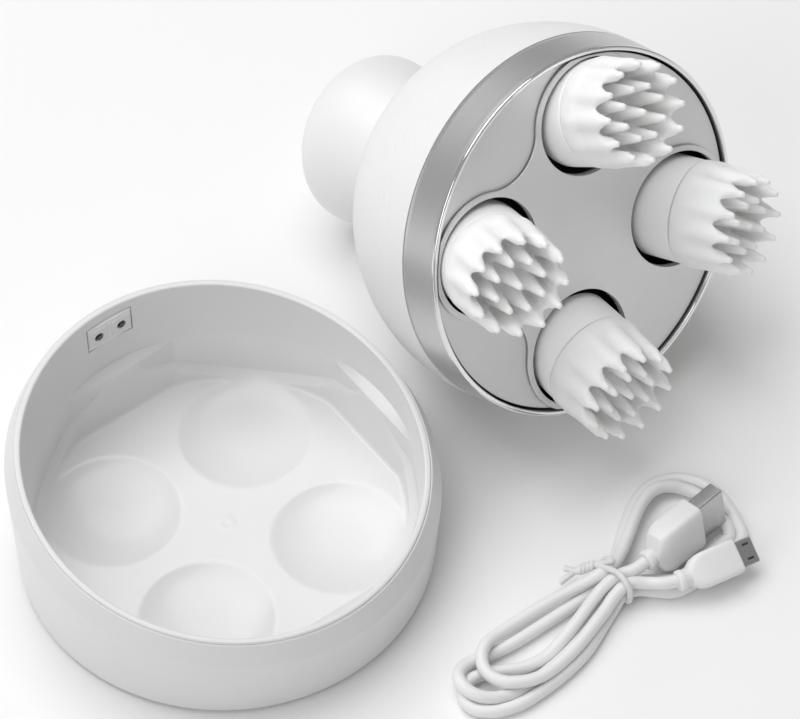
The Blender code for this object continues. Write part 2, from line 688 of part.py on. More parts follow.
def hoop(radius, height, slanted, flat=None):
    """A ring of points. A slanted one follows the rim's plane; flat is the distance of its four flats."""
    points = []
    for i in range(RING_POINTS):
        angle = 2 * math.pi * i / RING_POINTS
        r = radius
        if flat:
            off = (angle - FLAT_PHASE + math.pi / 4) % (math.pi / 2) - math.pi / 4
            r = min(radius, flat / math.cos(off))
        rise = r * RIM_SLANT * math.cos(angle - RIM_HIGH_SIDE) if slanted else 0.0
        points.append((r * math.cos(angle), r * math.sin(angle), height + rise))
    return points


def dock_bowl():
    """The inner tray: dished floor, four flats with ledges, and the rounded lip."""
    lip = BOWL_LIP_R
    rings = [
        hoop(10 * MM, BOWL_LOW_Z, False),
        hoop(47.0 * MM, BOWL_LOW_Z, False),
        hoop(48.2 * MM, 8.0 * MM, False),
        hoop(49.8 * MM, LEDGE_Z - 1.5 * MM, False),
        hoop(50.6 * MM, RIM_HEIGHT - 2.6 * MM, True),
        hoop(51.2 * MM, RIM_HEIGHT - 2.2 * MM, True),
        hoop(51.2 * MM, RIM_HEIGHT - 0.5 * MM, True),
        hoop(50.8 * MM, RIM_HEIGHT, True),
        hoop(50.1 * MM, RIM_HEIGHT - 0.1 * MM, True),
        hoop(lip, RIM_HEIGHT - 0.9 * MM, True),
        hoop(48.6 * MM, LEDGE_Z, False),
        hoop(48.5 * MM, LEDGE_Z - 0.1 * MM, False, 46.2 * MM),
        hoop(46.6 * MM, 8.6 * MM, False, 43.9 * MM),
        hoop(46.1 * MM, 7.2 * MM, False, 43.4 * MM),
        hoop(44.9 * MM, BOWL_FLOOR_Z, False, 42.4 * MM),
        hoop(10 * MM, BOWL_FLOOR_Z, False),
    ]
    bowl = skinned("dock_bowl", rings, WHITE_GLOSS)
    dish = [(0, BOWL_FLOOR_Z + 2 * MM), (RECESS_R, BOWL_FLOOR_Z + 2 * MM)]
    for i in range(5):
        share = 1 - i / 4
        dish.append((RECESS_R * share, BOWL_FLOOR_Z - RECESS_DEPTH * (1 - share**2)))
    for index in range(HEAD_COUNT):
        cutter = turned(f"bowl_recess_{index + 1}", dish, steps=24)
        cutter.matrix_local = spun(RECESS_PHASE + index * math.pi / 2, RECESS_CIRCLE_R)
        boolean(bowl, "DIFFERENCE", cutter)
    notch = block("contact_notch", (6 * MM, 13.6 * MM, 8.4 * MM), (50.5 * MM, 0, DOCK_CONTACT_Z))
    cutter = add_cutter("contact_notch", notch)
    cutter.matrix_local = spun(CONTACT_ANGLE)
    boolean(bowl, "DIFFERENCE", cutter)


def dock_shell():
    """The outer wall with the sloping band under the rim."""
    rings = [
        (51.4 * MM, 1.3 * MM, False),
        (51.5 * MM, 0.5 * MM, False),
        (52.2 * MM, 0.5 * MM, False),
        (DOCK_BASE_R, 1.6 * MM, False),
        (DOCK_R, RIM_HEIGHT - 6.5 * MM, True),
        (DOCK_R - 0.2 * MM, RIM_HEIGHT - 5.8 * MM, True),
        (51.9 * MM, RIM_HEIGHT - 0.8 * MM, True),
        (51.5 * MM, RIM_HEIGHT - 0.8 * MM, True),
        (51.5 * MM, RIM_HEIGHT - 4.5 * MM, True),
        (51.4 * MM, 8.0 * MM, False),
    ]

    def fill(bm):
        rows = [[bm.verts.new(p) for p in hoop(*ring)] for ring in rings]
        for row, ahead in zip(rows, rows[1:] + rows[:1]):
            for i in range(RING_POINTS):
                j = (i + 1) % RING_POINTS
                bm.faces.new((row[i], row[j], ahead[j], ahead[i]))
        bmesh.ops.recalc_face_normals(bm, faces=bm.faces[:])

    shell = add("dock_shell", mesh_from("dock_shell", fill), WHITE_GLOSS)
    slot = block("socket_slot", (8 * MM, 8.4 * MM, 3.6 * MM), (52 * MM, 0, 5.8 * MM))
    cutter = add_cutter("socket_slot", slot)
    cutter.matrix_local = spun(CONTACT_ANGLE)
    boolean(shell, "DIFFERENCE", cutter)


def dock_small_parts():
    base = [(0, 2.8 * MM), (51.0 * MM, 2.8 * MM), (51.0 * MM, 1.5 * MM), (0, 1.5 * MM)]
    turned("dock_base", base, WHITE_MATTE)
    pad = [(0, 1.2 * MM), (33.5 * MM, 1.2 * MM), (34.0 * MM, 0.7 * MM), (34.0 * MM, 0), (0, 0)]
    turned("base_pad", pad, BLACK_RUBBER)
    place = spun(CONTACT_ANGLE)
    slab = block("contact_block", (2.0 * MM, 13.0 * MM, 7.8 * MM), (49.9 * MM, 0, DOCK_CONTACT_Z))
    holder = add("contact_block", slab, WHITE_GLOSS)
    holder.matrix_local = place
    outward = Matrix.Rotation(math.pi / 2, 4, "Y")
    places = [
        Matrix.Translation((0, side * CONTACT_SPREAD, DOCK_CONTACT_Z)) @ outward for side in (-1, 1)
    ]
    holes = rods("pin_holes", 1.2 * MM, 46 * MM, 54 * MM, places, 12)
    cutter = add_cutter("pin_holes", holes)
    cutter.matrix_local = place
    boolean(holder, "DIFFERENCE", cutter)
    for index, pin_place in enumerate(places):
        pin = rods("contact_pin", 0.85 * MM, 48.3 * MM, 50.6 * MM, [Matrix.Identity(4)], 12)
        add(f"contact_pin_{index + 1}", pin, GOLD).matrix_local = place @ pin_place
    board = block("dock_board", (1.0 * MM, 10.0 * MM, 11.0 * MM), (50.3 * MM, 0, 14.5 * MM))
    add("dock_board", board, BOARD_GREEN).matrix_local = place
    socket = block("usb_socket", (4.6 * MM, 7.6 * MM, 2.8 * MM), (50.7 * MM, 0, 5.8 * MM))
    body = add("usb_socket", socket, STEEL)
    body.matrix_local = place
    mouth = block("socket_mouth", (5 * MM, 6.9 * MM, 1.8 * MM), (52.0 * MM, 0, 5.8 * MM))
    cutter = add_cutter("socket_mouth", mouth)
    cutter.matrix_local = place
    boolean(body, "DIFFERENCE", cutter)


# ---------------------------------------------------------------- cable, tied in a hank


CABLE = empty(
    "cable_frame", None, Matrix.Translation((CABLE_X, CABLE_Y, 0)) @ Matrix.Rotation(CABLE_TURN, 4, "Z")
)
HANK_TOP = 2 * CORD_D
WAIST_HALF = 5.4 * MM
WAIST_Y = 1.4 * MM
TIE_WIRE_R = 0.5 * MM
MICRO_BODY = (13.6 * MM, 9.0 * MM, 6.0 * MM)
MICRO_LEAN = Matrix.Rotation(math.radians(-11.6), 4, "Z") @ Matrix.Rotation(math.radians(28), 4, "X")
MICRO_PLACE = Matrix.Translation((13.6 * MM, -9.9 * MM, 6.4 * MM)) @ MICRO_LEAN


def smooth_loop(corners, count=3):
    """A closed outline that runs smoothly through its corners, given in millimetres."""
    points = []
    total = len(corners)
    for i in range(total):
        before, start, end, after = (Vector(corners[(i + k) % total]) for k in (-1, 0, 1, 2))
        for j in range(count):
            t = j / count
            bend = 2 * before - 5 * start + 4 * end - after
            twist = 3 * start - before - 3 * end + after
            points.append(tuple((start + (end - before + (bend + twist * t) * t) * t / 2) * MM))
    return points


def cable_hank():
    """The outer shape of the tied turns: a filled lobe one side of the tie, an open one on the other."""
    near_lobe = [(-4, -3.4), (-15, -9.6), (-28, -12.8), (-41, -12.2), (-49.5, -6.5), (-52, 0), (-49.5, 6.5)]
    near_lobe += [(-40, 10.2), (-27, 10.8), (-14, 9.4), (-4, 6.2)]
    far_lobe = [(4, 6.6), (12, 16.0), (22, 21.6), (31, 21.0), (37.4, 15.2), (40, 8), (39.4, -0.5)]
    far_lobe += [(33, -6.0), (24, -9.4), (14, -9.8), (4, -3.6)]
    hole = [(6.0, 0), (8.4, 5.8), (15, 10.4), (24, 14.4), (31.5, 13.4), (36, 7.5), (36, 1)]
    hole += [(28, -4.6), (18, -6.0), (9.6, -5.9), (6.4, -3.8)]
    outlines = [smooth_loop(near_lobe + far_lobe), smooth_loop(hole)]
    hank = add("cable_hank", flat_curve("cable_hank", outlines, 0, HANK_TOP), CORD_WHITE, CABLE)
    hank.location.z = HANK_TOP / 2
    hank = as_mesh(hank)
    size = (3.6 * MM, 40 * MM, 4.0 * MM)
    notch = add_cutter("tie_notch", block("tie_notch", size, (0, 0, 0)), CABLE)
    boolean(hank, "DIFFERENCE", notch)
    length, width, thick = MICRO_BODY
    room = (length + 8 * MM, width + 1 * MM, 16 * MM)
    centre = (length / 2 - 2 * MM, 0, room[2] / 2 - thick / 2 - 0.3 * MM)
    seat = add_cutter("micro_usb_seat", block("micro_usb_seat", room, centre), CABLE)
    seat.matrix_local = MICRO_PLACE
    boolean(hank, "DIFFERENCE", seat)


def twist_tie():
    """One wire round the waist, whose two ends stand off on the +Y side."""
    half = WAIST_HALF + GAP + TIE_WIRE_R + 0.3 * MM
    high = HANK_TOP + GAP + TIE_WIRE_R + 0.1 * MM
    low = TIE_WIRE_R + 0.1 * MM
    route = [
        (0.2, half + 10.0 * MM, 3.0 * MM),
        (0.6, half + 3.0 * MM, 3.4 * MM),
        (0.8, half, high - 1.5 * MM),
        (0.7, half - 1.5 * MM, high),
        (0.2, -half + 1.5 * MM, high),
        (0.0, -half, high - 1.5 * MM),
        (-0.1, -half, low + 1.5 * MM),
        (-0.2, -half + 1.5 * MM, low),
        (-0.7, half - 1.5 * MM, low),
        (-0.8, half + 0.4 * MM, low + 1.2 * MM),
        (-0.8, half + 3.2 * MM, 4.2 * MM),
        (-1.6, half + 8.0 * MM, 5.5 * MM),
    ]
    curve = bpy.data.curves.new("twist_tie", "CURVE")
    curve.dimensions = "3D"
    curve.bevel_depth = TIE_WIRE_R
    curve.bevel_resolution = 2
    curve.use_fill_caps = True
    spline = curve.splines.new("POLY")
    spline.points.add(len(route) - 1)
    for point, (x, y, z) in zip(spline.points, route):
        point.co = (x * MM, y, z, 1)
    tie = add("twist_tie", curve, WHITE_MATTE, CABLE)
    tie.location.y = WAIST_Y


def plug(prefix, place, body_size, shell_size, relief_length):
    """Overmould with a round strain relief behind it, and the metal shell in front; local +X is forward."""
    frame = empty(f"{prefix}_frame", CABLE, place)
    length = body_size[0]
    overmould = block(f"{prefix}_body", body_size, (length / 2, 0, 0), 0.9 * MM)
    body = add(f"{prefix}_body", overmould, CORD_WHITE, frame)
    backward = Matrix.Rotation(-math.pi / 2, 4, "Y")

    def fill(bm):
        rod(bm, CORD_D * 0.85, -1.5 * MM, relief_length, 16, backward, CORD_D * 0.62)

    relief = add_cutter(f"{prefix}_relief", mesh_from(f"{prefix}_relief", fill), frame)
    boolean(body, "UNION", relief)
    metal = block(f"{prefix}_shell", shell_size, (length + GAP + shell_size[0] / 2, 0, 0))
    shell = add(f"{prefix}_shell", metal, STEEL, frame)
    wall = 0.35 * MM
    mouth_size = (shell_size[0] - 1 * MM, shell_size[1] - 2 * wall, shell_size[2] - 2 * wall)
    mouth = block(f"{prefix}_mouth", mouth_size, (length + GAP + 1.2 * MM + shell_size[0] / 2, 0, 0))
    cutter = add_cutter(f"{prefix}_mouth", mouth, frame)
    boolean(shell, "DIFFERENCE", cutter)


def cable():
    cable_hank()
    twist_tie()
    edge_up = Matrix.Rotation(math.radians(5), 4, "Z") @ Matrix.Rotation(math.radians(78), 4, "X")
    usb_a = Matrix.Translation((9.6 * MM, -0.2 * MM, 8.0 * MM)) @ edge_up
    plug("usb_a", usb_a, (15.4 * MM, 13.5 * MM, 7.2 * MM), (8.2 * MM, 11.6 * MM, 4.4 * MM), 2.6 * MM)
    plug("micro_usb", MICRO_PLACE, MICRO_BODY, (4.6 * MM, 6.9 * MM, 1.9 * MM), 3.6 * MM)


def build():
    dome_housing()
    knob_shell()
    knob_end()
    bezel_ring()
    charge_contacts()
    face_plate()
    clover_plate()
    heads()
    chassis()
    output_gears()
    reduction()
    gearbox_and_motor()
    electrics()
    dock_bowl()
    dock_shell()
    dock_small_parts()
    cable()


build()
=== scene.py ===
"""Looks of the scalp massager brush: its skins, soft claws, dock, lead, materials, light and camera.

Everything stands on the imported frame, in metres. Shapes are written in millimetres and scaled by MM.
"""

import json
import math

import bmesh
import bpy
import numpy as np
from mathutils import Matrix, Vector


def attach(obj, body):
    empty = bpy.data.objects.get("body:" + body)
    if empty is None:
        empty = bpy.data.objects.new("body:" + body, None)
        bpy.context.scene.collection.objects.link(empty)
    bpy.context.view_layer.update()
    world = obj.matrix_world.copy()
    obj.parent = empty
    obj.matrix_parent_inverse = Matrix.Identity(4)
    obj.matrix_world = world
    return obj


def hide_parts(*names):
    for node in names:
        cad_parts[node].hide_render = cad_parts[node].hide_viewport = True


MM = 0.001
SECTION_STEPS = 48

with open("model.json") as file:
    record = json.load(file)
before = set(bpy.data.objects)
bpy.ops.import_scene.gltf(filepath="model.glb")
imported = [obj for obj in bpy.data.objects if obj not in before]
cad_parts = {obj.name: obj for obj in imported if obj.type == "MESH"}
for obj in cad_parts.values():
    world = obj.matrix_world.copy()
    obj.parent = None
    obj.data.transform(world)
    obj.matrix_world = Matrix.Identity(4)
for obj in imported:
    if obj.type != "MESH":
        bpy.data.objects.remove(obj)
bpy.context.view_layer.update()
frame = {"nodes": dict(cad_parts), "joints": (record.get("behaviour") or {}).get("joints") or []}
joints = {joint["name"]: joint for joint in frame["joints"]}


# ---------------------------------------------------------------- mesh helpers


def new_object(name, data, materials, body):
    """Links a mesh or a curve as a piece that rides on a CAD body."""
    piece = bpy.data.objects.new(name, data)
    for material in materials:
        data.materials.append(material)
    bpy.context.scene.collection.objects.link(piece)
    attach(piece, body)
    return piece


def shade(mesh, degrees):
    """Smooth shading, with edges sharper than an angle kept sharp."""
    mesh.shade_smooth()
    mesh.set_sharp_from_angle(angle=math.radians(degrees))


def placed(points, place):
    """Millimetre points moved by a matrix that is in metres."""
    return [place @ (Vector(p) * MM) for p in points]


def ring_mesh(name, rings, place, loop=False, sharp=40.0):
    """A skin over rings of equally many points in millimetres. loop joins the last ring to the first."""
    count = len(rings[0])
    points = [p for ring in rings for p in ring]
    faces = []
    rows = len(rings)
    for row in range(rows if loop else rows - 1):
        ahead = (row + 1) % rows
        for i in range(count):
            j = (i + 1) % count
            faces.append((row * count + i, row * count + j, ahead * count + j, ahead * count + i))
    if not loop:
        faces.append(tuple(reversed(range(count))))
        faces.append(tuple(range((rows - 1) * count, rows * count)))
    mesh = bpy.data.meshes.new(name)
    mesh.from_pydata(placed(points, place), [], faces)
    tidy_normals(mesh)
    shade(mesh, sharp)
    return mesh


def section(x, half_y, half_z, power):
    """A rounded rectangle across the X axis: a superellipse, whose power 2 is a plain ellipse."""
    ring = []
    for i in range(SECTION_STEPS):
        a = 2 * math.pi * i / SECTION_STEPS
        c, s = math.cos(a), math.sin(a)
        y = half_y * math.copysign(abs(c) ** (2 / power), c)
        z = half_z * math.copysign(abs(s) ** (2 / power), s)
        ring.append((x, y, z))
    return ring


def tidy_normals(mesh):
    """Joins points that coincide and turns every face outwards."""
    bm = bmesh.new()
    bm.from_mesh(mesh)
    bmesh.ops.remove_doubles(bm, verts=bm.verts[:], dist=1e-6)
    bmesh.ops.recalc_face_normals(bm, faces=bm.faces[:])
    bm.to_mesh(mesh)
    bm.free()


def lathe(name, profile, place, steps=128, loop=False, sharp=40.0):
    """A profile of (radius, height) in millimetres turned about the place's Z axis."""
    turn = 2 * math.pi / steps
    rings = [
        [(max(r, 1e-3) * math.cos(i * turn), max(r, 1e-3) * math.sin(i * turn), z) for i in range(steps)]
        for r, z in profile
    ]
    return ring_mesh(name, rings, place, loop=loop, sharp=sharp)


def arc(centre_r, centre_z, radius, start, end, count):
    """Profile points on an arc, angles in degrees from the outward direction, positive upward."""
    angles = [math.radians(start + (end - start) * i / count) for i in range(count + 1)]
    return [(centre_r + radius * math.cos(a), centre_z + radius * math.sin(a)) for a in angles]


def smooth_min(a, b, k):
    """Joins two distance fields with a fillet about k wide."""
    h = np.maximum(k - np.abs(a - b), 0.0) / k
    return np.minimum(a, b) - h * h * k / 4


def smooth_max(a, b, k):
    """Cuts one distance field by another with a rounded edge about k wide."""
    return -smooth_min(-a, -b, k)


def skin_of(field, low, step):
    """Surface nets: the points and quads of the surface where the field, sampled on a grid, is 0."""
    inside = field < 0
    shape = np.array(field.shape)
    total = np.zeros(tuple(shape - 1) + (3,))
    hits = np.zeros(tuple(shape - 1))
    for axis in range(3):
        others = [a for a in range(3) if a != axis]
        lower = [slice(None)] * 3
        upper = [slice(None)] * 3
        lower[axis] = slice(0, -1)
        upper[axis] = slice(1, None)
        first = field[tuple(lower)]
        second = field[tuple(upper)]
        crossed = (first < 0) != (second < 0)
        share = np.where(crossed, first / np.where(crossed, first - second, 1.0), 0.0)
        for corner in ((0, 0), (0, 1), (1, 0), (1, 1)):
            view = [slice(None)] * 3
            for other, side in zip(others, corner):
                view[other] = slice(side, shape[other] - 1 + side)
            seen = crossed[tuple(view)]
            hits += seen
            total[..., axis] += np.where(seen, share[tuple(view)], 0.0)
            for other, side in zip(others, corner):
                total[..., other] += np.where(seen, side, 0.0)
    used = hits > 0
    index = np.full(hits.shape, -1)
    index[used] = np.arange(used.sum())
    cells = np.argwhere(used)
    points = np.array(low) + (cells + total[used] / hits[used][:, None]) * step
    quads = []
    for axis in range(3):
        u, v = [a for a in range(3) if a != axis]
        if axis == 1:
            u, v = v, u
        lower = [slice(None)] * 3
        upper = [slice(None)] * 3
        lower[axis] = slice(0, -1)
        upper[axis] = slice(1, None)
        flips = inside[tuple(lower)] != inside[tuple(upper)]
        at = np.argwhere(flips)
        at = at[(at[:, u] > 0) & (at[:, v] > 0)]
        step_u = np.eye(3, dtype=int)[u]
        step_v = np.eye(3, dtype=int)[v]
        corners = [at - step_u - step_v, at - step_v, at, at - step_u]
        quad = np.stack([index[tuple(c.T)] for c in corners], axis=1)
        outward = inside[tuple(at.T)]
        quads.append(np.where(outward[:, None], quad, quad[:, ::-1]))
    return points, np.concatenate(quads)


# ---------------------------------------------------------------- materials


def finish(
    name,
    colour,
    roughness,
    metallic=0.0,
    mottle=0.03,
    mottle_scale=60.0,
    grain=0.05,
    grain_scale=1800.0,
    grain_depth=0.00002,
    coat=0.0,
    soft=0.0,
    stretch=(1.0, 1.0, 1.0),
):
    """A Principled finish whose colour and roughness wander a little and whose surface has a fine grain."""
    made = bpy.data.materials.new(name)
    made.use_nodes = True
    tree = made.node_tree
    shader = tree.nodes["Principled BSDF"]
    shader.inputs["Metallic"].default_value = metallic
    shader.inputs["Coat Weight"].default_value = coat
    shader.inputs["Coat Roughness"].default_value = 0.08
    if soft:
        shader.inputs["Subsurface Weight"].default_value = soft
        shader.inputs["Subsurface Radius"].default_value = (1.0, 0.9, 0.85)
        shader.inputs["Subsurface Scale"].default_value = 0.002
    coordinates = tree.nodes.new("ShaderNodeTexCoord")
    mapping = tree.nodes.new("ShaderNodeMapping")
    mapping.inputs["Scale"].default_value = stretch
    tree.links.new(coordinates.outputs["Object"], mapping.inputs["Vector"])
    broad = tree.nodes.new("ShaderNodeTexNoise")
    broad.inputs["Scale"].default_value = mottle_scale
    broad.inputs["Detail"].default_value = 3.0
    fine = tree.nodes.new("ShaderNodeTexNoise")
    fine.inputs["Scale"].default_value = grain_scale
    fine.inputs["Detail"].default_value = 2.0
    tree.links.new(mapping.outputs["Vector"], broad.inputs["Vector"])
    tree.links.new(mapping.outputs["Vector"], fine.inputs["Vector"])
    ramp = tree.nodes.new("ShaderNodeValToRGB")
    low = tuple(max(0.0, c * (1 - mottle)) for c in colour)
    high = tuple(min(1.0, c * (1 + mottle)) for c in colour)
    ramp.color_ramp.elements[0].position = 0.3
    ramp.color_ramp.elements[0].color = (*low, 1.0)
    ramp.color_ramp.elements[1].position = 0.7
    ramp.color_ramp.elements[1].color = (*high, 1.0)
    tree.links.new(broad.outputs["Fac"], ramp.inputs["Fac"])
    tree.links.new(ramp.outputs["Color"], shader.inputs["Base Color"])
    spread = tree.nodes.new("ShaderNodeMapRange")
    spread.inputs["To Min"].default_value = max(0.02, roughness * (1 - grain))
    spread.inputs["To Max"].default_value = roughness * (1 + grain)
    tree.links.new(fine.outputs["Fac"], spread.inputs["Value"])
    tree.links.new(spread.outputs["Result"], shader.inputs["Roughness"])
    bump = tree.nodes.new("ShaderNodeBump")
    bump.inputs["Strength"].default_value = 0.33
    bump.inputs["Distance"].default_value = grain_depth
    tree.links.new(fine.outputs["Fac"], bump.inputs["Height"])
    tree.links.new(bump.outputs["Normal"], shader.inputs["Normal"])
    return made


GLOSS_WHITE = finish("gloss_white", (0.85, 0.85, 0.855), 0.42, coat=0.04, mottle=0.012, grain=0.12)
DOCK_WHITE = finish("dock_white", (0.76, 0.76, 0.765), 0.3, coat=0.12, mottle=0.012, grain=0.15)
DOME_WHITE = finish("dome_white", (0.86, 0.86, 0.86), 0.42, mottle=0.012, grain=0.12, grain_depth=0.00003)
SATIN_SILVER = finish(
    "satin_silver", (0.80, 0.80, 0.805), 0.5, metallic=1.0, mottle=0.05, mottle_scale=25.0, grain=0.2,
    grain_scale=2600.0,
)
BAND_SILVER = finish(
    "band_silver", (0.70, 0.70, 0.705), 0.38, metallic=1.0, mottle=0.04, mottle_scale=18.0, grain=0.2,
    grain_scale=2600.0,
)
POLISHED = finish("polished_edge", (0.86, 0.86, 0.86), 0.1, metallic=1.0, mottle=0.01, grain=0.2)
SILICONE = finish(
    "silicone", (0.96, 0.96, 0.955), 0.6, soft=0.7, mottle=0.012, mottle_scale=90.0, grain=0.15,
    grain_scale=900.0, grain_depth=0.00003,
)
SEAT_WHITE = finish("seat_white", (0.94, 0.94, 0.94), 0.5, mottle=0.012, grain=0.12)
CABLE_WHITE = finish(
    "cable_white", (0.84, 0.84, 0.84), 0.4, soft=0.1, mottle=0.02, grain=0.2, grain_scale=1200.0,
)
TIE_WHITE = finish("tie_white", (0.76, 0.76, 0.76), 0.5, mottle=0.06, mottle_scale=400.0, grain=0.3)
NICKEL = finish(
    "nickel", (0.50, 0.50, 0.50), 0.3, metallic=1.0, mottle=0.06, mottle_scale=120.0, grain=0.35,
    stretch=(1.0, 6.0, 1.0),
)
# Dark plastic of the inner parts; the plugs' latch holes also use it as painted shade.
DARK_PLASTIC_AND_HOLE_SHADE = finish("dark_plastic_and_hole_shade", (0.035, 0.035, 0.037), 0.5, mottle=0.15, grain=0.3)
GEAR_PLASTIC = finish("gear_plastic", (0.78, 0.76, 0.68), 0.4, mottle=0.05, grain=0.2)
RUBBER = finish("rubber", (0.03, 0.03, 0.03), 0.75, mottle=0.2, grain=0.3, grain_depth=0.00006)
STEEL = finish(
    "steel", (0.55, 0.55, 0.56), 0.32, metallic=1.0, mottle=0.08, grain=0.4, stretch=(1.0, 1.0, 5.0),
)
DARK_METAL = finish("dark_metal", (0.10, 0.10, 0.10), 0.4, metallic=1.0, mottle=0.1, grain=0.3)
GOLD = finish("gold", (0.80, 0.58, 0.25), 0.25, metallic=1.0, mottle=0.05, grain=0.3)
BOARD_GREEN = finish("board_green", (0.02, 0.16, 0.07), 0.35, mottle=0.25, mottle_scale=500.0, grain=0.3)
BATTERY_BLUE = finish("battery_wrap", (0.08, 0.20, 0.40), 0.3, mottle=0.05, grain=0.2, coat=0.3)
LIGHT_PLASTIC = finish("light_plastic", (0.78, 0.86, 0.90), 0.35, soft=0.4, mottle=0.02, grain=0.2)
FLOOR_WHITE = finish("floor_white", (0.93, 0.93, 0.93), 0.9, mottle=0.004, mottle_scale=3.0, grain=0.02)


def four(name):
    """The names of four alike nodes."""
    return tuple(f"{name}_{i}" for i in range(1, 5))


CAD_FINISHES = {
    GLOSS_WHITE: ("knob_shell", "power_button", "contact_block"),
    DOCK_WHITE: ("dock_bowl", "dock_shell", "dock_base"),
    DOME_WHITE: ("dome_housing",),
    SATIN_SILVER: ("face_plate", "clover_plate"),
    BAND_SILVER: ("bezel_ring",),
    SEAT_WHITE: four("claw_seat"),
    SILICONE: four("claw"),
    DARK_PLASTIC_AND_HOLE_SHADE: ("chassis", "gearbox_cover", "tact_switch"),
    GEAR_PLASTIC: (
        "sun_gear", "final_wheel", "reduction_pinion", "reduction_wheel", "motor_pinion", *four("head_gear"),
    ),
    RUBBER: ("base_pad", "housing_o_ring", *four("shaft_seal")),
    DARK_METAL: ("contact_pin_1", "contact_pin_2"),
    STEEL: ("motor", "reduction_pin", "usb_socket", *four("gearbox_screw")),
    NICKEL: ("usb_a_shell", "micro_usb_shell"),
    GOLD: ("charge_contact_1", "charge_contact_2"),
    BOARD_GREEN: ("switch_board", "control_board", "dock_board"),
    BATTERY_BLUE: ("battery",),
    LIGHT_PLASTIC: ("light_ring",),
    CABLE_WHITE: ("cable_hank", "usb_a_body", "micro_usb_body"),
    TIE_WHITE: ("twist_tie",),
}


def dress_cad():
    """Gives every CAD node its finish. The nodes that a piece replaces are hidden later."""
    for made, names in CAD_FINISHES.items():
        for name in names:
            slots = frame["nodes"][name].data.materials
            slots.clear()
            slots.append(made)


# ---------------------------------------------------------------- the massager's own frame


HEAD_COUNT = 4
FRONT = Vector(joints["head_1_spin"]["axis"]).normalized()
HEAD_CENTRES = [Vector(joints[f"head_{i}_spin"]["pos_m"]) for i in range(1, HEAD_COUNT + 1)]


def massager_place():
    """The massager's own frame: its origin between the heads and its Z pointing out of the face."""
    centre = sum(HEAD_CENTRES, Vector()) / HEAD_COUNT
    side = Vector((0, 0, 1)).cross(FRONT).normalized()
    turn = Matrix((side, FRONT.cross(side), FRONT)).transposed().to_4x4()
    return Matrix.Translation(centre) @ turn


MASSAGER = massager_place()
TO_LOCAL = MASSAGER.inverted()


def local_span(name):
    """Lowest and highest radius and height of a CAD node in the massager's frame, in millimetres."""
    points = [TO_LOCAL @ v.co / MM for v in frame["nodes"][name].data.vertices]
    radii = [p.xy.length for p in points]
    heights = [p.z for p in points]
    return min(radii), max(radii), min(heights), max(heights)


HEAD_CIRCLE_R = (TO_LOCAL @ HEAD_CENTRES[0]).length / MM
HEAD_ANGLES = [math.atan2(*(TO_LOCAL @ c).yx) for c in HEAD_CENTRES]


def spun(angle, radius, height=0.0):
    """A place turned about the Z axis, then moved outwards and up, in millimetres."""
    return Matrix.Rotation(angle, 4, "Z") @ Matrix.Translation((radius * MM, 0, height * MM))


# ---------------------------------------------------------------- massager: housings


DOME_R = 49.1
DOME_CENTRE_Z = -15.0
NECK_R = 17.0
WALL = 1.8
RIB_PITCH = 1.25
RIB_HEIGHT = 0.2
RIB_STEPS = 4
KNOB_EDGE_R = 5.5
KNOB_CORNER_Z = -86.0
BUTTON_HOLE_R = 11.5
BAND_FRONT_R = 48.4
BAND_LIP_R = 47.15
POLISHED_Z = -0.7  # the band is polished in front of this height


def dome_skin():
    """The grip: a sphere with fine ribs round it, from the band to the neck."""
    _, _, _, front_z = local_span("dome_housing")
    start = math.asin((front_z - DOME_CENTRE_Z) / DOME_R)
    end = -math.acos(NECK_R / DOME_R)
    ribs = round((start - end) * DOME_R / RIB_PITCH)
    outside = []
    for i in range(ribs * RIB_STEPS + 1):
        share = i / (ribs * RIB_STEPS)
        a = start + (end - start) * share
        fade = min(1.0, 6 * share, 6 * (1 - share))
        r = DOME_R - RIB_HEIGHT * fade * (1 - math.cos(2 * math.pi * i / RIB_STEPS)) / 2
        outside.append((r * math.cos(a), DOME_CENTRE_Z + r * math.sin(a)))
    inner_r = DOME_R - WALL
    inside = arc(0, DOME_CENTRE_Z, inner_r, math.degrees(end) + 2, math.degrees(start), 24)
    mesh = lathe("dome_skin", outside + inside, MASSAGER, steps=160, loop=True, sharp=60)
    piece = new_object("dome_skin", mesh, [DOME_WHITE], "massager")
    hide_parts("dome_housing")


def knob_skin():
    """The handle: flares from the neck to a rounded end."""
    _, knob_r, _, start_z = local_span("knob_shell")
    flare_z = start_z - 0.5

    def flare(share):
        """The outline from the neck, at 0, to the rounded end, at 1."""
        r = NECK_R + (knob_r - NECK_R) * (1 - math.cos(math.pi * share)) / 2
        return r, flare_z + (KNOB_CORNER_Z - flare_z) * share

    outside = [(NECK_R - 0.5, start_z), (NECK_R - 0.12, start_z - 0.1)]
    outside += [flare(i / 24) for i in range(25)]
    corner_r = knob_r - KNOB_EDGE_R
    outside += arc(corner_r, KNOB_CORNER_Z, KNOB_EDGE_R, 0, -88, 16)[1:]
    end_z = KNOB_CORNER_Z - KNOB_EDGE_R
    outside += [(BUTTON_HOLE_R + 0.5, end_z - 0.12), (BUTTON_HOLE_R + 0.1, end_z + 0.05)]
    outside += [(BUTTON_HOLE_R, end_z + 0.5)]
    inside = [(BUTTON_HOLE_R, end_z + WALL)]
    inside += arc(corner_r, KNOB_CORNER_Z, KNOB_EDGE_R - WALL, -88, 0, 8)
    for i in range(11, -1, -1):
        r, z = flare(i / 12)
        inside.append((r - WALL, z))
    mesh = lathe("knob_skin", outside + inside, MASSAGER, steps=128, loop=True, sharp=50)
    piece = new_object("knob_skin", mesh, [GLOSS_WHITE], "massager")
    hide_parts("knob_shell")


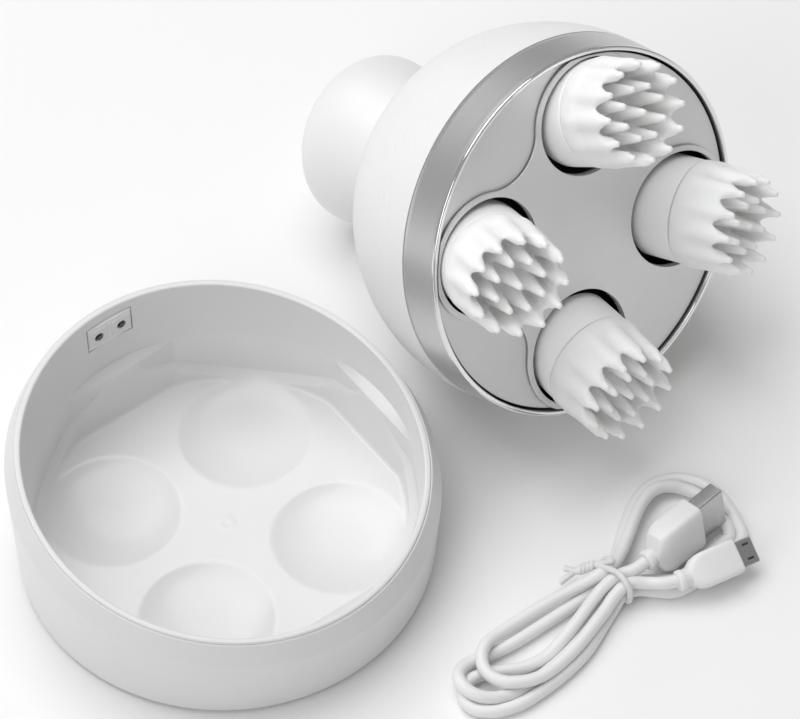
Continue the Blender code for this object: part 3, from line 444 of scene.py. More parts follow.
def knob_end():
    """The light ring and the button with its dished cap."""
    inner, outer, low, high = local_span("light_ring")
    ring = [(inner, high), (inner, low + 0.3), (inner + 0.25, low), (outer - 0.25, low), (outer, low + 0.3)]
    ring.append((outer, high))
    mesh = lathe("light_ring_skin", ring, MASSAGER, steps=96, loop=True, sharp=50)
    piece = new_object("light_ring_skin", mesh, [LIGHT_PLASTIC], "massager")
    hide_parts("light_ring")
    _, outer, low, high = local_span("power_button")
    cap = [(0, high), (outer, high), (outer, low + 1.0)]
    cap += arc(outer - 0.7, low + 1.0, 0.7, 0, -80, 6)
    cap += [(outer * 0.75, low + 0.32), (outer * 0.45, low + 0.5), (outer * 0.2, low + 0.58), (0, low + 0.6)]
    mesh = lathe("button_skin", cap, MASSAGER, steps=96, sharp=50)
    piece = new_object("button_skin", mesh, [GLOSS_WHITE], "button")
    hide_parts("power_button")


def bezel_skin():
    """The silver band and its polished front lip."""
    _, back_r, back_z, _ = local_span("bezel_ring")
    front_z = -0.75
    satin = [(BAND_FRONT_R + 0.02, -0.62), (BAND_FRONT_R + 0.05, front_z)]
    for i in range(1, 8):
        r = BAND_FRONT_R + (back_r - BAND_FRONT_R) * i / 8
        satin.append((r, front_z + (back_z - front_z) * i / 8))
    satin += [(back_r, back_z + 0.35), (back_r - 0.1, back_z + 0.1), (back_r - 0.4, back_z)]
    satin += [(BAND_LIP_R + 0.1, back_z), (BAND_LIP_R + 0.1, -1.4)]
    lip = [(BAND_LIP_R, -1.4), (BAND_LIP_R, -0.35)] + arc(BAND_LIP_R + 0.35, -0.35, 0.35, 180, 95, 5)
    lip += arc(BAND_FRONT_R - 0.45, -0.45, 0.45, 85, 5, 6)
    mesh = lathe("bezel_skin", satin + lip, MASSAGER, steps=192, loop=True, sharp=30)
    piece = new_object("bezel_skin", mesh, [BAND_SILVER, POLISHED], "massager")
    for face in mesh.polygons:
        height = (TO_LOCAL @ face.center).z / MM
        face.material_index = 1 if height > POLISHED_Z else 0
    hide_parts("bezel_ring")


# ---------------------------------------------------------------- massager: face


HOLE_R = 15.4
LOBE_R = HOLE_R + 1.5
HOLLOW_R = 12.0


def flat_piece(name, outlines, low, high, bevel):
    """A plate between closed outlines in millimetres: the first is its edge and the rest are holes."""
    curve = bpy.data.curves.new(name, "CURVE")
    curve.dimensions = "2D"
    curve.fill_mode = "BOTH"
    curve.extrude = ((high - low) / 2 - bevel) * MM
    curve.bevel_depth = bevel * MM
    curve.bevel_resolution = 2
    curve.offset = -bevel * MM
    for outline in outlines:
        spline = curve.splines.new("POLY")
        spline.points.add(len(outline) - 1)
        for point, (x, y) in zip(spline.points, outline):
            point.co = (x * MM, y * MM, 0, 1)
        spline.use_cyclic_u = True
    holder = bpy.data.objects.new(name, curve)
    bpy.context.scene.collection.objects.link(holder)
    bpy.context.view_layer.update()
    graph = bpy.context.evaluated_depsgraph_get()
    mesh = bpy.data.meshes.new_from_object(holder.evaluated_get(graph))
    mesh.name = name
    bpy.data.objects.remove(holder, do_unlink=True)
    bpy.data.curves.remove(curve)
    mesh.transform(MASSAGER @ Matrix.Translation((0, 0, (low + high) / 2 * MM)))
    mesh.materials.clear()
    tidy_normals(mesh)
    shade(mesh, 12)
    return mesh


def circle(radius, count, centre=(0.0, 0.0)):
    """Points round a circle."""
    turn = 2 * math.pi / count
    return [
        (centre[0] + radius * math.cos(i * turn), centre[1] + radius * math.sin(i * turn))
        for i in range(count)
    ]


def hole_circles():
    """The edges of the holes that the heads stand in."""
    return [
        circle(HOLE_R, 96, (HEAD_CIRCLE_R * math.cos(a), HEAD_CIRCLE_R * math.sin(a))) for a in HEAD_ANGLES
    ]


def clover_outline(limit):
    """Four lobes round the holes, joined by hollow arcs and cut off at the rim of the plate."""
    quarter = math.pi / HEAD_COUNT
    half = HEAD_CIRCLE_R * math.sin(quarter)
    along = HEAD_CIRCLE_R * math.cos(quarter)
    hollow_x = along + math.sqrt((LOBE_R + HOLLOW_R) ** 2 - half**2)
    meet = math.atan2(half, hollow_x - along)
    reach = meet + quarter
    points = []
    for angle in HEAD_ANGLES:
        cx, cy = HEAD_CIRCLE_R * math.cos(angle), HEAD_CIRCLE_R * math.sin(angle)
        for i in range(65):
            a = angle + reach * (i / 32 - 1)
            points.append((cx + LOBE_R * math.cos(a), cy + LOBE_R * math.sin(a)))
        mid = angle + quarter
        cx, cy = hollow_x * math.cos(mid), hollow_x * math.sin(mid)
        for i in range(1, 24):
            a = mid + math.pi + meet * (1 - i / 12)
            points.append((cx + HOLLOW_R * math.cos(a), cy + HOLLOW_R * math.sin(a)))
    radii = [math.hypot(x, y) for x, y in points]
    return [(x * min(1.0, limit / r), y * min(1.0, limit / r)) for (x, y), r in zip(points, radii)]


def face_skins():
    """The round plate inside the band and the four-lobed plate that stands on it."""
    _, plate_r, low, high = local_span("face_plate")
    mesh = flat_piece("face_skin", [circle(plate_r - 0.3, 256)] + hole_circles(), low, high, 0.12)
    piece = new_object("face_skin", mesh, [SATIN_SILVER], "massager")
    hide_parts("face_plate")
    _, plate_r, low, high = local_span("clover_plate")
    mesh = flat_piece("clover_skin", [clover_outline(plate_r)] + hole_circles(), low, high, 0.16)
    piece = new_object("clover_skin", mesh, [SATIN_SILVER], "massager")
    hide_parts("clover_plate")


# ---------------------------------------------------------------- massager: heads


HEAD_LEAN = math.radians(16.0)
HEAD_PIVOT = -3.5
COLLAR_R = 13.5
COLLAR_TOP = 8.2
CLAW_LOW = 8.5
CLAW_FLOOR = 13.2
CLAW_TIP = 26.0
CLAW_REACH = 15.5
CLAW_R = 13.7
CLAW_TAPER = 0.03
CUP_R = 11.9
CUP_HALF_WALL = 1.25
CUP_LOW = 20.6
CUP_RISE = 3.0
OUTER_FINGERS = 12
INNER_FINGERS = 8
INNER_CIRCLE_R = 6.3
FINGER_FOOT_R = 2.7
FINGER_TIP_R = 0.85
CLAW_STEP = 0.42


def leaning(angle):
    """The place of a leaning head frame, whose Z is the head's own axis."""
    lean = Matrix.Rotation(HEAD_LEAN, 4, "Y")
    return MASSAGER @ spun(angle, HEAD_CIRCLE_R, HEAD_PIVOT) @ lean


def finger(x, y, z, foot, tip):
    """Distance to a tapered finger between two points."""
    foot = np.array(foot, float)
    along = np.array(tip, float) - foot
    length = along @ along
    dx, dy, dz = x - foot[0], y - foot[1], z - foot[2]
    t = np.clip((dx * along[0] + dy * along[1] + dz * along[2]) / length, 0, 1)
    away = np.sqrt((dx - t * along[0]) ** 2 + (dy - t * along[1]) ** 2 + (dz - t * along[2]) ** 2)
    return away - (FINGER_FOOT_R + (FINGER_TIP_R - FINGER_FOOT_R) * t)


def claw_surface():
    """The silicone claw as a blended field: a cup with a fluted wall, and fingers round and inside it."""
    low = (-CLAW_REACH, -CLAW_REACH, CLAW_LOW - 2 * CLAW_STEP)
    high = (CLAW_REACH, CLAW_REACH, CLAW_TIP + 2 * CLAW_STEP)
    axes = [np.arange(a, b, CLAW_STEP) for a, b in zip(low, high)]
    x, y, z = np.meshgrid(*axes, indexing="ij")
    away = np.hypot(x, y)
    turn = np.arctan2(y, x)
    root = smooth_max(away - CLAW_R + CLAW_TAPER * (z - CLAW_LOW), z - CLAW_FLOOR, 1.6)
    wave = 0.5 + 0.5 * np.cos(OUTER_FINGERS * turn)
    wall_top = CUP_LOW + CUP_RISE * wave
    fluting = np.clip((z - 12.0) / 7.0, 0, 1) * (0.75 - 1.1 * wave)
    thickness = np.abs(away - CUP_R) - CUP_HALF_WALL + np.maximum(fluting, -0.2)
    claw = smooth_min(root, smooth_max(thickness, z - wall_top, 1.2), 1.4)
    for i in range(OUTER_FINGERS):
        a = i * 2 * math.pi / OUTER_FINGERS
        c, s = math.cos(a), math.sin(a)
        foot = (11.3 * c, 11.3 * s, 11.5)
        tip = (CUP_R * c, CUP_R * s, CLAW_TIP - 0.9)
        claw = smooth_min(claw, finger(x, y, z, foot, tip), 0.9)
    spots = [(INNER_CIRCLE_R, (i + 0.5) * 2 * math.pi / INNER_FINGERS) for i in range(INNER_FINGERS)]
    for radius, a in spots + [(0.0, 0.0)]:
        px, py = radius * math.cos(a), radius * math.sin(a)
        tip = (px * 1.04, py * 1.04, CLAW_TIP - 1.6)
        claw = smooth_min(claw, finger(x, y, z, (px, py, 11.0), tip), 1.6)
    claw = smooth_max(claw, CLAW_LOW - z, 0.5)
    return skin_of(claw, low, CLAW_STEP)


def heads():
    """The four heads: a silicone claw, its collar and its shaft on each."""
    points, quads = claw_surface()
    collar = [(0, 6.0), (COLLAR_R - 2.5, 6.0), (COLLAR_R - 2.4, COLLAR_TOP), (COLLAR_R - 0.6, COLLAR_TOP)]
    collar += arc(COLLAR_R - 0.5, COLLAR_TOP - 0.5, 0.5, 80, 0, 5)
    collar += [(COLLAR_R, 4.0), (COLLAR_R, 0.0), (COLLAR_R, -2.4)]
    collar += arc(COLLAR_R - 0.6, -2.4, 0.6, -10, -80, 4) + [(8.0, -3.0), (0, -3.0)]
    for index, angle in enumerate(HEAD_ANGLES):
        number = index + 1
        body = f"head_{number}"
        place = leaning(angle)
        mesh = bpy.data.meshes.new(f"claw_soft_{number}")
        mesh.from_pydata(placed(points, place), [], quads.tolist())
        mesh.shade_smooth()
        claw = new_object(f"claw_soft_{number}", mesh, [SILICONE], body)
        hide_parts(f"claw_{number}")
        mesh = lathe(f"seat_skin_{number}", collar, place, steps=112, sharp=35)
        seat = new_object(f"seat_skin_{number}", mesh, [SEAT_WHITE], body)
        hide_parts(f"claw_seat_{number}")
        shaft = [(0, -5.0), (3.0, -5.0), (3.0, -17.9), (2.6, -18.3), (0, -18.3)]
        upright = MASSAGER @ spun(angle, HEAD_CIRCLE_R)
        mesh = lathe(f"seat_shaft_{number}", shaft, upright, steps=48, sharp=35)
        piece = new_object(f"seat_shaft_{number}", mesh, [SEAT_WHITE], body)


# ---------------------------------------------------------------- dock


RIM_HEIGHT = 34.5
RIM_SLANT = math.tan(math.radians(9.5))
RIM_HIGH_SIDE = math.radians(138.0)
LIP_R = 49.7
LIP_WIDTH = 1.6
LIP_EDGE = 0.45
DOCK_R = 54.0
SHELL_INNER_R = 51.4
BAND_HEIGHT = 6.5
LEDGE_Z = 22.0
FLOOR_Z = 6.5
RECESS_PHASE = math.radians(-8.0)
RECESS_CIRCLE_R = 28.8
RECESS_R = 17.0
RECESS_DEPTH = 2.4
RECESS_POWER = 3.4
FLOOR_R = 44.8
FLAT_R = 42.4  # from the axis to the flats, at the floor
FLOOR_FILLET = 1.2
MARK_R = 1.6  # of the small raised ring in the middle of the floor
MARK_WIDTH = 0.35
MARK_HEIGHT = 0.12
FLAT_PHASE = RECESS_PHASE + math.pi / 4
CONTACT_ANGLE = FLAT_PHASE + math.pi / 2
CONTACT_SPREAD = 3.4
CONTACT_Z = 35.5
PAD_HALF = 2.9
PAD_HOLE_R = 1.2
DOCK_ANGLES = np.arange(384) * 2 * math.pi / 384
DOCK_CORNER = 0.2
DOCK_SHARP = 28.0
ORIGIN = Matrix.Identity(4)


def rim_rise(radius):
    """How far the slanted rim stands above its mean height, all the way round."""
    return radius * RIM_SLANT * np.cos(DOCK_ANGLES - RIM_HIGH_SIDE)


def flat_radius(radius, apothem):
    """A circle cut by four flats, with the corners barely rounded."""
    off = (DOCK_ANGLES - FLAT_PHASE + math.pi / 4) % (math.pi / 2) - math.pi / 4
    return smooth_min(radius, apothem / np.cos(off), DOCK_CORNER)


def recess_height(x, y):
    """The height of the dished recess nearest to each point."""
    turns = [RECESS_PHASE + index * math.pi / 2 for index in range(HEAD_COUNT)]
    centres = [(RECESS_CIRCLE_R * math.cos(a), RECESS_CIRCLE_R * math.sin(a)) for a in turns]
    away = np.minimum.reduce([np.hypot(x - cx, y - cy) for cx, cy in centres])
    return FLOOR_Z - RECESS_DEPTH * (1 - (away / RECESS_R) ** RECESS_POWER)


def bowl_ring(radius, height, slanted=False, apothem=None, dished=False):
    """A level of the bowl: round or with flats, level or slanted with the rim, plain or with the recesses."""
    r = radius if apothem is None else flat_radius(radius, apothem)
    x, y = r * np.cos(DOCK_ANGLES), r * np.sin(DOCK_ANGLES)
    z = height + rim_rise(r) * (1.0 if slanted else 0.0)
    if dished:
        z = smooth_min(z, recess_height(x, y), DOCK_CORNER)
    return list(zip(x, y, z))


def bowl_skin():
    """The inner tray: dished floor, four flats with sloping ledges, upper wall and flat-topped lip."""
    rings = []
    for i in range(1, 57):
        r = FLOOR_R * i / 56
        mark = MARK_HEIGHT * math.exp(-(((r - MARK_R) / MARK_WIDTH) ** 2))
        rings.append(bowl_ring(r, FLOOR_Z + mark, apothem=r * FLAT_R / FLOOR_R, dished=True))
    for i in range(1, 9):
        a = math.pi / 2 * i / 8
        out = FLOOR_FILLET * math.sin(a)
        up = FLOOR_FILLET * (1 - math.cos(a))
        rings.append(bowl_ring(FLOOR_R + out, FLOOR_Z + up, apothem=FLAT_R + out, dished=True))
    wall_low = FLOOR_Z + FLOOR_FILLET
    for i in range(1, 9):
        share = i / 8
        z = wall_low + (LEDGE_Z - 1.1 - wall_low) * share
        rings.append(bowl_ring(46.0 + 2.4 * share, z, apothem=43.6 + 2.0 * share, dished=True))
    rings.append(bowl_ring(48.45, LEDGE_Z - 0.9, apothem=45.7))
    rings.append(bowl_ring(48.5, LEDGE_Z - 0.75, apothem=45.9))
    rings.append(bowl_ring(48.6, LEDGE_Z + 0.3))
    start = bowl_ring(48.65, LEDGE_Z + 0.5)
    end = bowl_ring(LIP_R, RIM_HEIGHT - 0.9, slanted=True)
    for i in range(1, 9):
        share = i / 8
        rings.append([tuple(a + (b - a) * share for a, b in zip(*pair)) for pair in zip(start, end)])
    outer_r = LIP_R + LIP_WIDTH
    lip = arc(LIP_R + LIP_EDGE, RIM_HEIGHT - LIP_EDGE, LIP_EDGE, 180, 90, 7)
    lip += arc(outer_r - LIP_EDGE, RIM_HEIGHT - LIP_EDGE, LIP_EDGE, 90, 0, 7)
    rings += [bowl_ring(r, z, slanted=True) for r, z in lip]
    rings.append(bowl_ring(outer_r, RIM_HEIGHT - 2.2, slanted=True))
    rings.append(bowl_ring(50.6, RIM_HEIGHT - 2.6, slanted=True))
    rings.append(bowl_ring(49.8, LEDGE_Z - 1.5))
    rings.append(bowl_ring(48.2, 8.0))
    rings.append(bowl_ring(47.0, 3.1))
    mesh = ring_mesh("bowl_skin", rings, ORIGIN)
    cut_box(mesh, CONTACT_ANGLE, (47.0, 54.0), 6.8, (31.3, 39.7))
    piece = new_object("bowl_skin", mesh, [DOCK_WHITE], "dock")
    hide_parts("dock_bowl")


def cut_box(mesh, angle, span, half, heights):
    """Cuts a box-shaped notch out of a mesh: radial span, half width and heights, in millimetres."""
    holder = bpy.data.objects.new("notched", mesh)
    bm = bmesh.new()
    size = (span[1] - span[0], 2 * half, heights[1] - heights[0])
    centre = (sum(span) / 2, 0, sum(heights) / 2)
    place = Matrix.Rotation(angle, 4, "Z") @ Matrix.Translation(Vector(centre) * MM)
    bmesh.ops.create_cube(bm, size=MM, matrix=place @ Matrix.Diagonal((*size, 1.0)))
    box = bpy.data.meshes.new("notch_box")
    bm.to_mesh(box)
    bm.free()
    cutter = bpy.data.objects.new("notch_box", box)
    for thing in (holder, cutter):
        bpy.context.scene.collection.objects.link(thing)
    modifier = holder.modifiers.new("Notch", "BOOLEAN")
    modifier.operation = "DIFFERENCE"
    modifier.solver = "EXACT"
    modifier.object = cutter
    bpy.context.view_layer.update()
    graph = bpy.context.evaluated_depsgraph_get()
    result = bpy.data.meshes.new_from_object(holder.evaluated_get(graph))
    bm = bmesh.new()
    bm.from_mesh(result)
    bm.to_mesh(mesh)
    bm.free()
    for thing in (holder, cutter):
        bpy.data.objects.remove(thing, do_unlink=True)
    bpy.data.meshes.remove(box)
    bpy.data.meshes.remove(result)
    shade(mesh, DOCK_SHARP)


def contact_pads():
    """Two square pads round the dock's spring pins, a little proud of their block."""
    for index, side in enumerate((-1, 1)):
        place = Matrix.Rotation(CONTACT_ANGLE, 4, "Z")
        place = place @ Matrix.Translation(Vector((0, side * CONTACT_SPREAD, CONTACT_Z)) * MM)
        rings = [section(49.2, PAD_HALF, PAD_HALF, 9), section(48.75, PAD_HALF, PAD_HALF, 9)]
        edge_r = PAD_HOLE_R + 0.15
        rings += [section(48.55, PAD_HALF - 0.2, PAD_HALF - 0.2, 9), section(48.55, edge_r, edge_r, 2)]
        rings += [section(48.7, PAD_HOLE_R, PAD_HOLE_R, 2), section(49.2, PAD_HOLE_R, PAD_HOLE_R, 2)]
        name = f"contact_pad_{index + 1}"
        mesh = ring_mesh(name, rings, place, loop=True, sharp=30)
        piece = new_object(name, mesh, [DOCK_WHITE], "dock")


def shell_skin():
    """The outer wall, its rounded foot and the sloping band under the lip."""

    def ring(radius, height, share):
        """share is how much of the rim's slant this height takes."""
        z = height + share * rim_rise(radius)
        return list(zip(radius * np.cos(DOCK_ANGLES), radius * np.sin(DOCK_ANGLES), z))

    rings = [ring(SHELL_INNER_R, 1.3, 0), ring(51.45, 0.6, 0)]
    rings += [ring(r, z, 0) for r, z in arc(51.3, 2.0, 1.5, -75, -8, 8)]
    low_z = 2.2
    low_r = DOCK_R - 1.2
    crease_z = RIM_HEIGHT - BAND_HEIGHT
    for i in range(1, 13):
        share = i / 12
        rings.append(ring(low_r + (DOCK_R - low_r) * share, low_z + (crease_z - low_z) * share, share))
    band_r = DOCK_R - 0.2
    rings += [ring(DOCK_R, crease_z + 0.25, 1), ring(53.93, crease_z + 0.5, 1)]
    rings.append(ring(band_r, crease_z + 0.8, 1))
    for i in range(1, 9):
        share = i / 8
        rings.append(ring(band_r - 2.05 * share, crease_z + 0.8 + 5.0 * share, 1))
    rings += [ring(51.6, RIM_HEIGHT - 0.6, 1), ring(51.32, RIM_HEIGHT - 0.66, 1)]
    rings += [ring(51.36, RIM_HEIGHT - 1.2, 1), ring(51.5, RIM_HEIGHT - 4.5, 1), ring(SHELL_INNER_R, 8.0, 0)]
    mesh = ring_mesh("shell_skin", rings, ORIGIN, loop=True)
    cut_box(mesh, CONTACT_ANGLE, (47.0, 56.0), 4.2, (4.0, 7.6))
    piece = new_object("shell_skin", mesh, [DOCK_WHITE], "dock")
    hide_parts("dock_shell")


# ---------------------------------------------------------------- cable: tied lead with two plugs


CABLE = Matrix.Translation(Vector((99.0, -17.0, 0.0)) * MM) @ Matrix.Rotation(math.radians(39.0), 4, "Z")
CORD_D = 3.3
CORD_R = CORD_D / 2
SPAN_POINTS = 8
NODE_GAP = 1.5  # between the points that the settling works on
SETTLE_ROUNDS = 260
CLEARANCE = 0.06
WAIST_REACH = 2.5  # how far from the tie's middle the strands are held firmly
WAIST_HOLD = 0.3
ROUTE_HOLD = 0.012
SAG = 0.015
STIFFNESS = 0.06
PUSH = 0.4
WAIST_Y = 1.4
TIE_R = 0.8
TIE_SQUARE = 0.62  # below 1, the tie's loop is squarer than an ellipse
TWIST_R = 0.62
WAIST_LOW = CORD_R + 2 * TIE_R
WAIST_HIGH = WAIST_LOW + CORD_D

USB_A_BODY = (15.4, 13.5, 7.2)
USB_A_SHELL = (8.2, 11.6, 4.4)
USB_A_TAIL = 2.6
MICRO_BODY = (13.6, 9.0, 6.0)
MICRO_SHELL = (4.6, 6.9, 1.9)
MICRO_TAIL = 3.6
SHELL_WALL = 0.32


def turned_place(x, y, z, yaw, roll):
    """A plug's place in the cable's frame: its own X points forward."""
    turn = Matrix.Rotation(math.radians(yaw), 4, "Z") @ Matrix.Rotation(math.radians(roll), 4, "X")
    return Matrix.Translation(Vector((x, y, z)) * MM) @ turn


USB_A_PLACE = turned_place(9.6, -0.2, 8.0, 5.0, 78.0)
MICRO_PLACE = turned_place(13.6, -9.9, 6.4, -11.6, 28.0)


def waist(column, high):
    """Where a strand passes through the tie: column -1, 0 or 1, in the low or the high layer."""
    return (0.0, WAIST_Y + column * CORD_D, WAIST_HIGH if high else WAIST_LOW)


def tail_point(place, back):
    """A point behind a plug, in the cable's frame and in millimetres."""
    return tuple(place @ Vector((-back * MM, 0, 0)) / MM)


def cord_route():
    """Points of the lead in the cable's frame, from the USB-A plug to the micro-USB plug.

    A point whose height is CORD_R lies on the floor.
    """
    from_usb_a = [tail_point(USB_A_PLACE, USB_A_TAIL - 1.2), tail_point(USB_A_PLACE, USB_A_TAIL + 1.0)]
    from_usb_a += [(3.4, -0.1, 7.4), waist(0, True)]
    low_near = [
        (-5.0, 1.4, 5.8), (-10.5, 0.0, 5.3), (-17.5, -2.8, 4.2), (-24.0, -3.8, 3.0), (-31.0, -3.2, 1.9),
        (-37.5, -0.8, CORD_R), (-43.5, 2.6, CORD_R), (-48.6, 2.8, CORD_R), (-51.6, -0.8, CORD_R),
        (-50.8, -5.0, CORD_R), (-46.4, -8.4, CORD_R), (-40.0, -10.2, CORD_R), (-32.5, -10.4, CORD_R),
        (-24.0, -9.2, CORD_R), (-15.0, -6.4, 1.8), (-7.0, -3.2, 2.3), waist(-1, False),
    ]
    outer_far = [
        (6.0, -4.4, 1.9), (13.0, -7.2, CORD_R), (21.0, -8.8, CORD_R), (28.5, -7.6, CORD_R),
        (34.5, -3.4, CORD_R), (37.8, 2.6, CORD_R), (38.2, 9.0, 2.0), (35.6, 14.8, 2.4), (30.6, 18.8, 2.6),
        (25.0, 19.8, 2.6), (18.6, 17.6, 2.4), (11.4, 12.8, 2.4), (5.2, 8.2, 2.6), waist(1, False),
    ]
    middle_near = [
        (-5.5, 4.6, 2.4), (-13.0, 4.2, 1.8), (-24.0, 4.4, CORD_R), (-34.0, 5.0, CORD_R),
        (-41.0, 6.6, 2.6), (-46.2, 6.6, 4.2), (-49.8, 3.4, 5.0), (-50.2, -1.2, 5.0), (-47.0, -5.0, 4.8),
        (-41.5, -6.9, 3.6), (-34.0, -7.3, 2.2), (-26.0, -6.4, 1.8), (-18.0, -4.4, 1.9), (-9.0, -1.2, 2.4),
        waist(0, False),
    ]
    inner_far = [
        (5.5, -1.4, 2.0), (11.5, -4.0, CORD_R), (19.5, -5.4, CORD_R), (27.0, -4.6, CORD_R),
        (32.0, -0.8, CORD_R), (34.4, 5.0, CORD_R), (34.0, 10.6, 2.2), (31.0, 15.2, 3.8),
        (26.0, 17.2, 5.2), (19.4, 15.4, 5.6), (12.0, 11.0, 5.8), (5.4, 7.0, 6.0), waist(1, True),
    ]
    top_near = [
        (-5.0, 5.4, 5.6), (-15.5, 7.4, 4.8), (-26.5, 8.2, 4.5), (-34.5, 8.0, 4.9), (-40.0, 6.2, 5.4),
        (-43.0, 2.4, 6.2), (-43.2, -2.0, 6.2), (-40.4, -5.8, 6.0), (-35.4, -8.1, 5.6), (-29.0, -8.8, 5.2),
        (-21.5, -7.6, 5.2), (-13.0, -5.2, 5.6), (-5.5, -2.8, 6.0), waist(-1, True),
    ]
    to_micro = [(4.6, -5.0, 6.6), tail_point(MICRO_PLACE, MICRO_TAIL + 1.0)]
    to_micro.append(tail_point(MICRO_PLACE, MICRO_TAIL - 1.2))
    return from_usb_a + low_near + outer_far + middle_near + inner_far + top_near + to_micro


def smooth_points(corners):
    """A Catmull-Rom curve through the corners."""
    corners = np.array(corners, float)
    padded = np.vstack([2 * corners[0] - corners[1], corners, 2 * corners[-1] - corners[-2]])
    found = []
    for i in range(1, len(padded) - 2):
        a, b, c, d = padded[i - 1 : i + 3]
        for j in range(SPAN_POINTS):
            t = j / SPAN_POINTS
            found.append(b + 0.5 * t * (c - a + t * (2 * a - 5 * b + 4 * c - d + t * (3 * (b - c) + d - a))))
    found.append(padded[-2])
    return np.array(found)


def even_points(points, gap):
    """The same line with its points an even distance apart."""
    steps = np.linalg.norm(np.diff(points, axis=0), axis=1)
    along = np.concatenate([[0], np.cumsum(steps)])
    wanted = np.linspace(0, along[-1], round(along[-1] / gap) + 1)
    return np.stack([np.interp(wanted, along, points[:, k]) for k in range(3)], axis=1)


def out_of_box(points, place, size, start):
    """Moves points out of a plug's overmould, by the shortest way that isn't along it."""
    turn = np.array(place.to_3x3())
    origin = np.array(place.translation) / MM
    local = (points - origin) @ turn
    half_y, half_z = size[1] / 2 + CORD_R, size[2] / 2 + CORD_R
    deep_y = half_y - np.abs(local[:, 1])
    deep_z = half_z - np.abs(local[:, 2])
    inside = (local[:, 0] > start) & (local[:, 0] < size[0] + 8) & (deep_y > 0) & (deep_z > 0)
    sideways = inside & (deep_y < deep_z)
    upward = inside & ~sideways
    local[sideways, 1] += np.sign(local[sideways, 1]) * deep_y[sideways] * 0.5
    local[upward, 2] += np.sign(local[upward, 2]) * deep_z[upward] * 0.5
    return local @ turn.T + origin


def settle(points):
    """Lets the lead lie: stiff, heavy, on the floor, a diameter from itself and clear of its plugs."""
    wanted = CORD_D + CLEARANCE
    start = points.copy()
    count = len(points)
    near = round(3 * CORD_D / NODE_GAP)
    apart = np.abs(np.subtract.outer(np.arange(count), np.arange(count))) > near
    hold = np.where(np.abs(points[:, 0]) < WAIST_REACH, WAIST_HOLD, ROUTE_HOLD)[:, None]
    held = np.zeros(count, bool)
    held[:4] = held[-4:] = True
    for _ in range(SETTLE_ROUNDS):
        points = points + hold * (start - points)
        points[:, 2] -= SAG
        bend = points[:-4] - 4 * points[1:-3] + 6 * points[2:-2] - 4 * points[3:-1] + points[4:]
        points[2:-2] -= STIFFNESS * bend
        between = points[:, None] - points[None]
        far = np.linalg.norm(between, axis=2)
        close = apart & (far < wanted)
        push = np.where(close, (wanted - far) / np.maximum(far, 1e-6), 0.0)
        points = points + PUSH * (between * push[:, :, None]).sum(axis=1)
        points = out_of_box(points, USB_A_PLACE, USB_A_BODY, 0.0)
        points = out_of_box(points, MICRO_PLACE, MICRO_BODY, 0.0)
        points[:, 2] = np.maximum(points[:, 2], CORD_R)
        points[held] = start[held]
    return points


def cord_object(points):
    """The lead as one open Bezier curve through the settled points."""
    curve = bpy.data.curves.new("lead", "CURVE")
    curve.dimensions = "3D"
    curve.bevel_depth = CORD_R * MM
    curve.bevel_resolution = 5
    curve.resolution_u = 6
    curve.use_fill_caps = True
    spline = curve.splines.new("BEZIER")
    spline.bezier_points.add(len(points) - 1)
    for point, at in zip(spline.bezier_points, points):
        point.co = CABLE @ (Vector(at) * MM)
        point.handle_left_type = point.handle_right_type = "AUTO"
    piece = new_object("lead", curve, [CABLE_WHITE], "dock")
    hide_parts("cable_hank")
    return piece


def overmould(name, place, body, tail, node_name):
    """A plug's moulded grip: the ribbed collar round the cord, the shoulder and the flat-sided grip."""
    length, width, thick = body
    half_y, half_z = width / 2, thick / 2
    collar = CORD_R + 1.05
    round_steps = [
        (-tail, CORD_R + 0.12), (-tail + 0.1, collar - 0.35), (-tail + 0.5, collar), (-tail + 1.5, collar),
        (-tail + 1.8, collar - 0.2), (-0.1, collar - 0.3),
    ]
    rings = [section(x, radius, radius, 2) for x, radius in round_steps]
    rings.append(section(0.0, collar, min(collar, half_z - 0.6), 2.4))
    rings += [section(1.6, half_y * 0.86, half_z * 0.9, 4), section(3.4, half_y * 0.98, half_z * 0.98, 6)]
    rings += [section(4.4, half_y, half_z, 7), section(length - 0.9, half_y, half_z, 7)]
    rings.append(section(length - 0.3, half_y - 0.15, half_z - 0.15, 7))
    rings.append(section(length, half_y - 0.6, half_z - 0.6, 7))
    mesh = ring_mesh(name, rings, CABLE @ place, sharp=32)
    piece = new_object(name, mesh, [CABLE_WHITE], "dock")
    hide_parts(node_name)
    return piece


def metal_shell(name, place, body, shell, holes, sides, node_name):
    """A plug's metal shell: open at the front, with its tongue inside and its latch holes on its sides drawn
    as flat dark patches of painted shade.
    """
    start = body[0] + 0.25
    end = start + shell[0]
    half_y, half_z = shell[1] / 2, shell[2] / 2
    inner_y, inner_z = half_y - SHELL_WALL, half_z - SHELL_WALL
    rings = [section(start, half_y, half_z, 12), section(end - 0.15, half_y, half_z, 12)]
    rings += [section(end, half_y - 0.12, half_z - 0.12, 12), section(end, inner_y, inner_z, 12)]
    rings.append(section(start + 1.0, inner_y, inner_z, 12))
    mesh = ring_mesh(name, rings, CABLE @ place, sharp=30)
    piece = new_object(name, mesh, [NICKEL, DARK_PLASTIC_AND_HOLE_SHADE, CABLE_WHITE], "dock")
    bm = bmesh.new()
    bm.from_mesh(mesh)
    # Flat dark patches on the shell stand for the latch holes: painted shade where the holes would be.
    for x, y, size_x, size_y in holes:
        for side in sides:
            add_block(bm, CABLE @ place, (start + x, y, side * (half_z + 0.01)), (size_x, size_y, 0.05), 1)
    tongue = ((start + end) / 2, 0, -half_z * 0.35)
    add_block(bm, CABLE @ place, tongue, (shell[0] - 1.2, shell[1] - 1.6, shell[2] * 0.3), 2)
    bm.to_mesh(mesh)
    bm.free()
    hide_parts(node_name)
    return piece


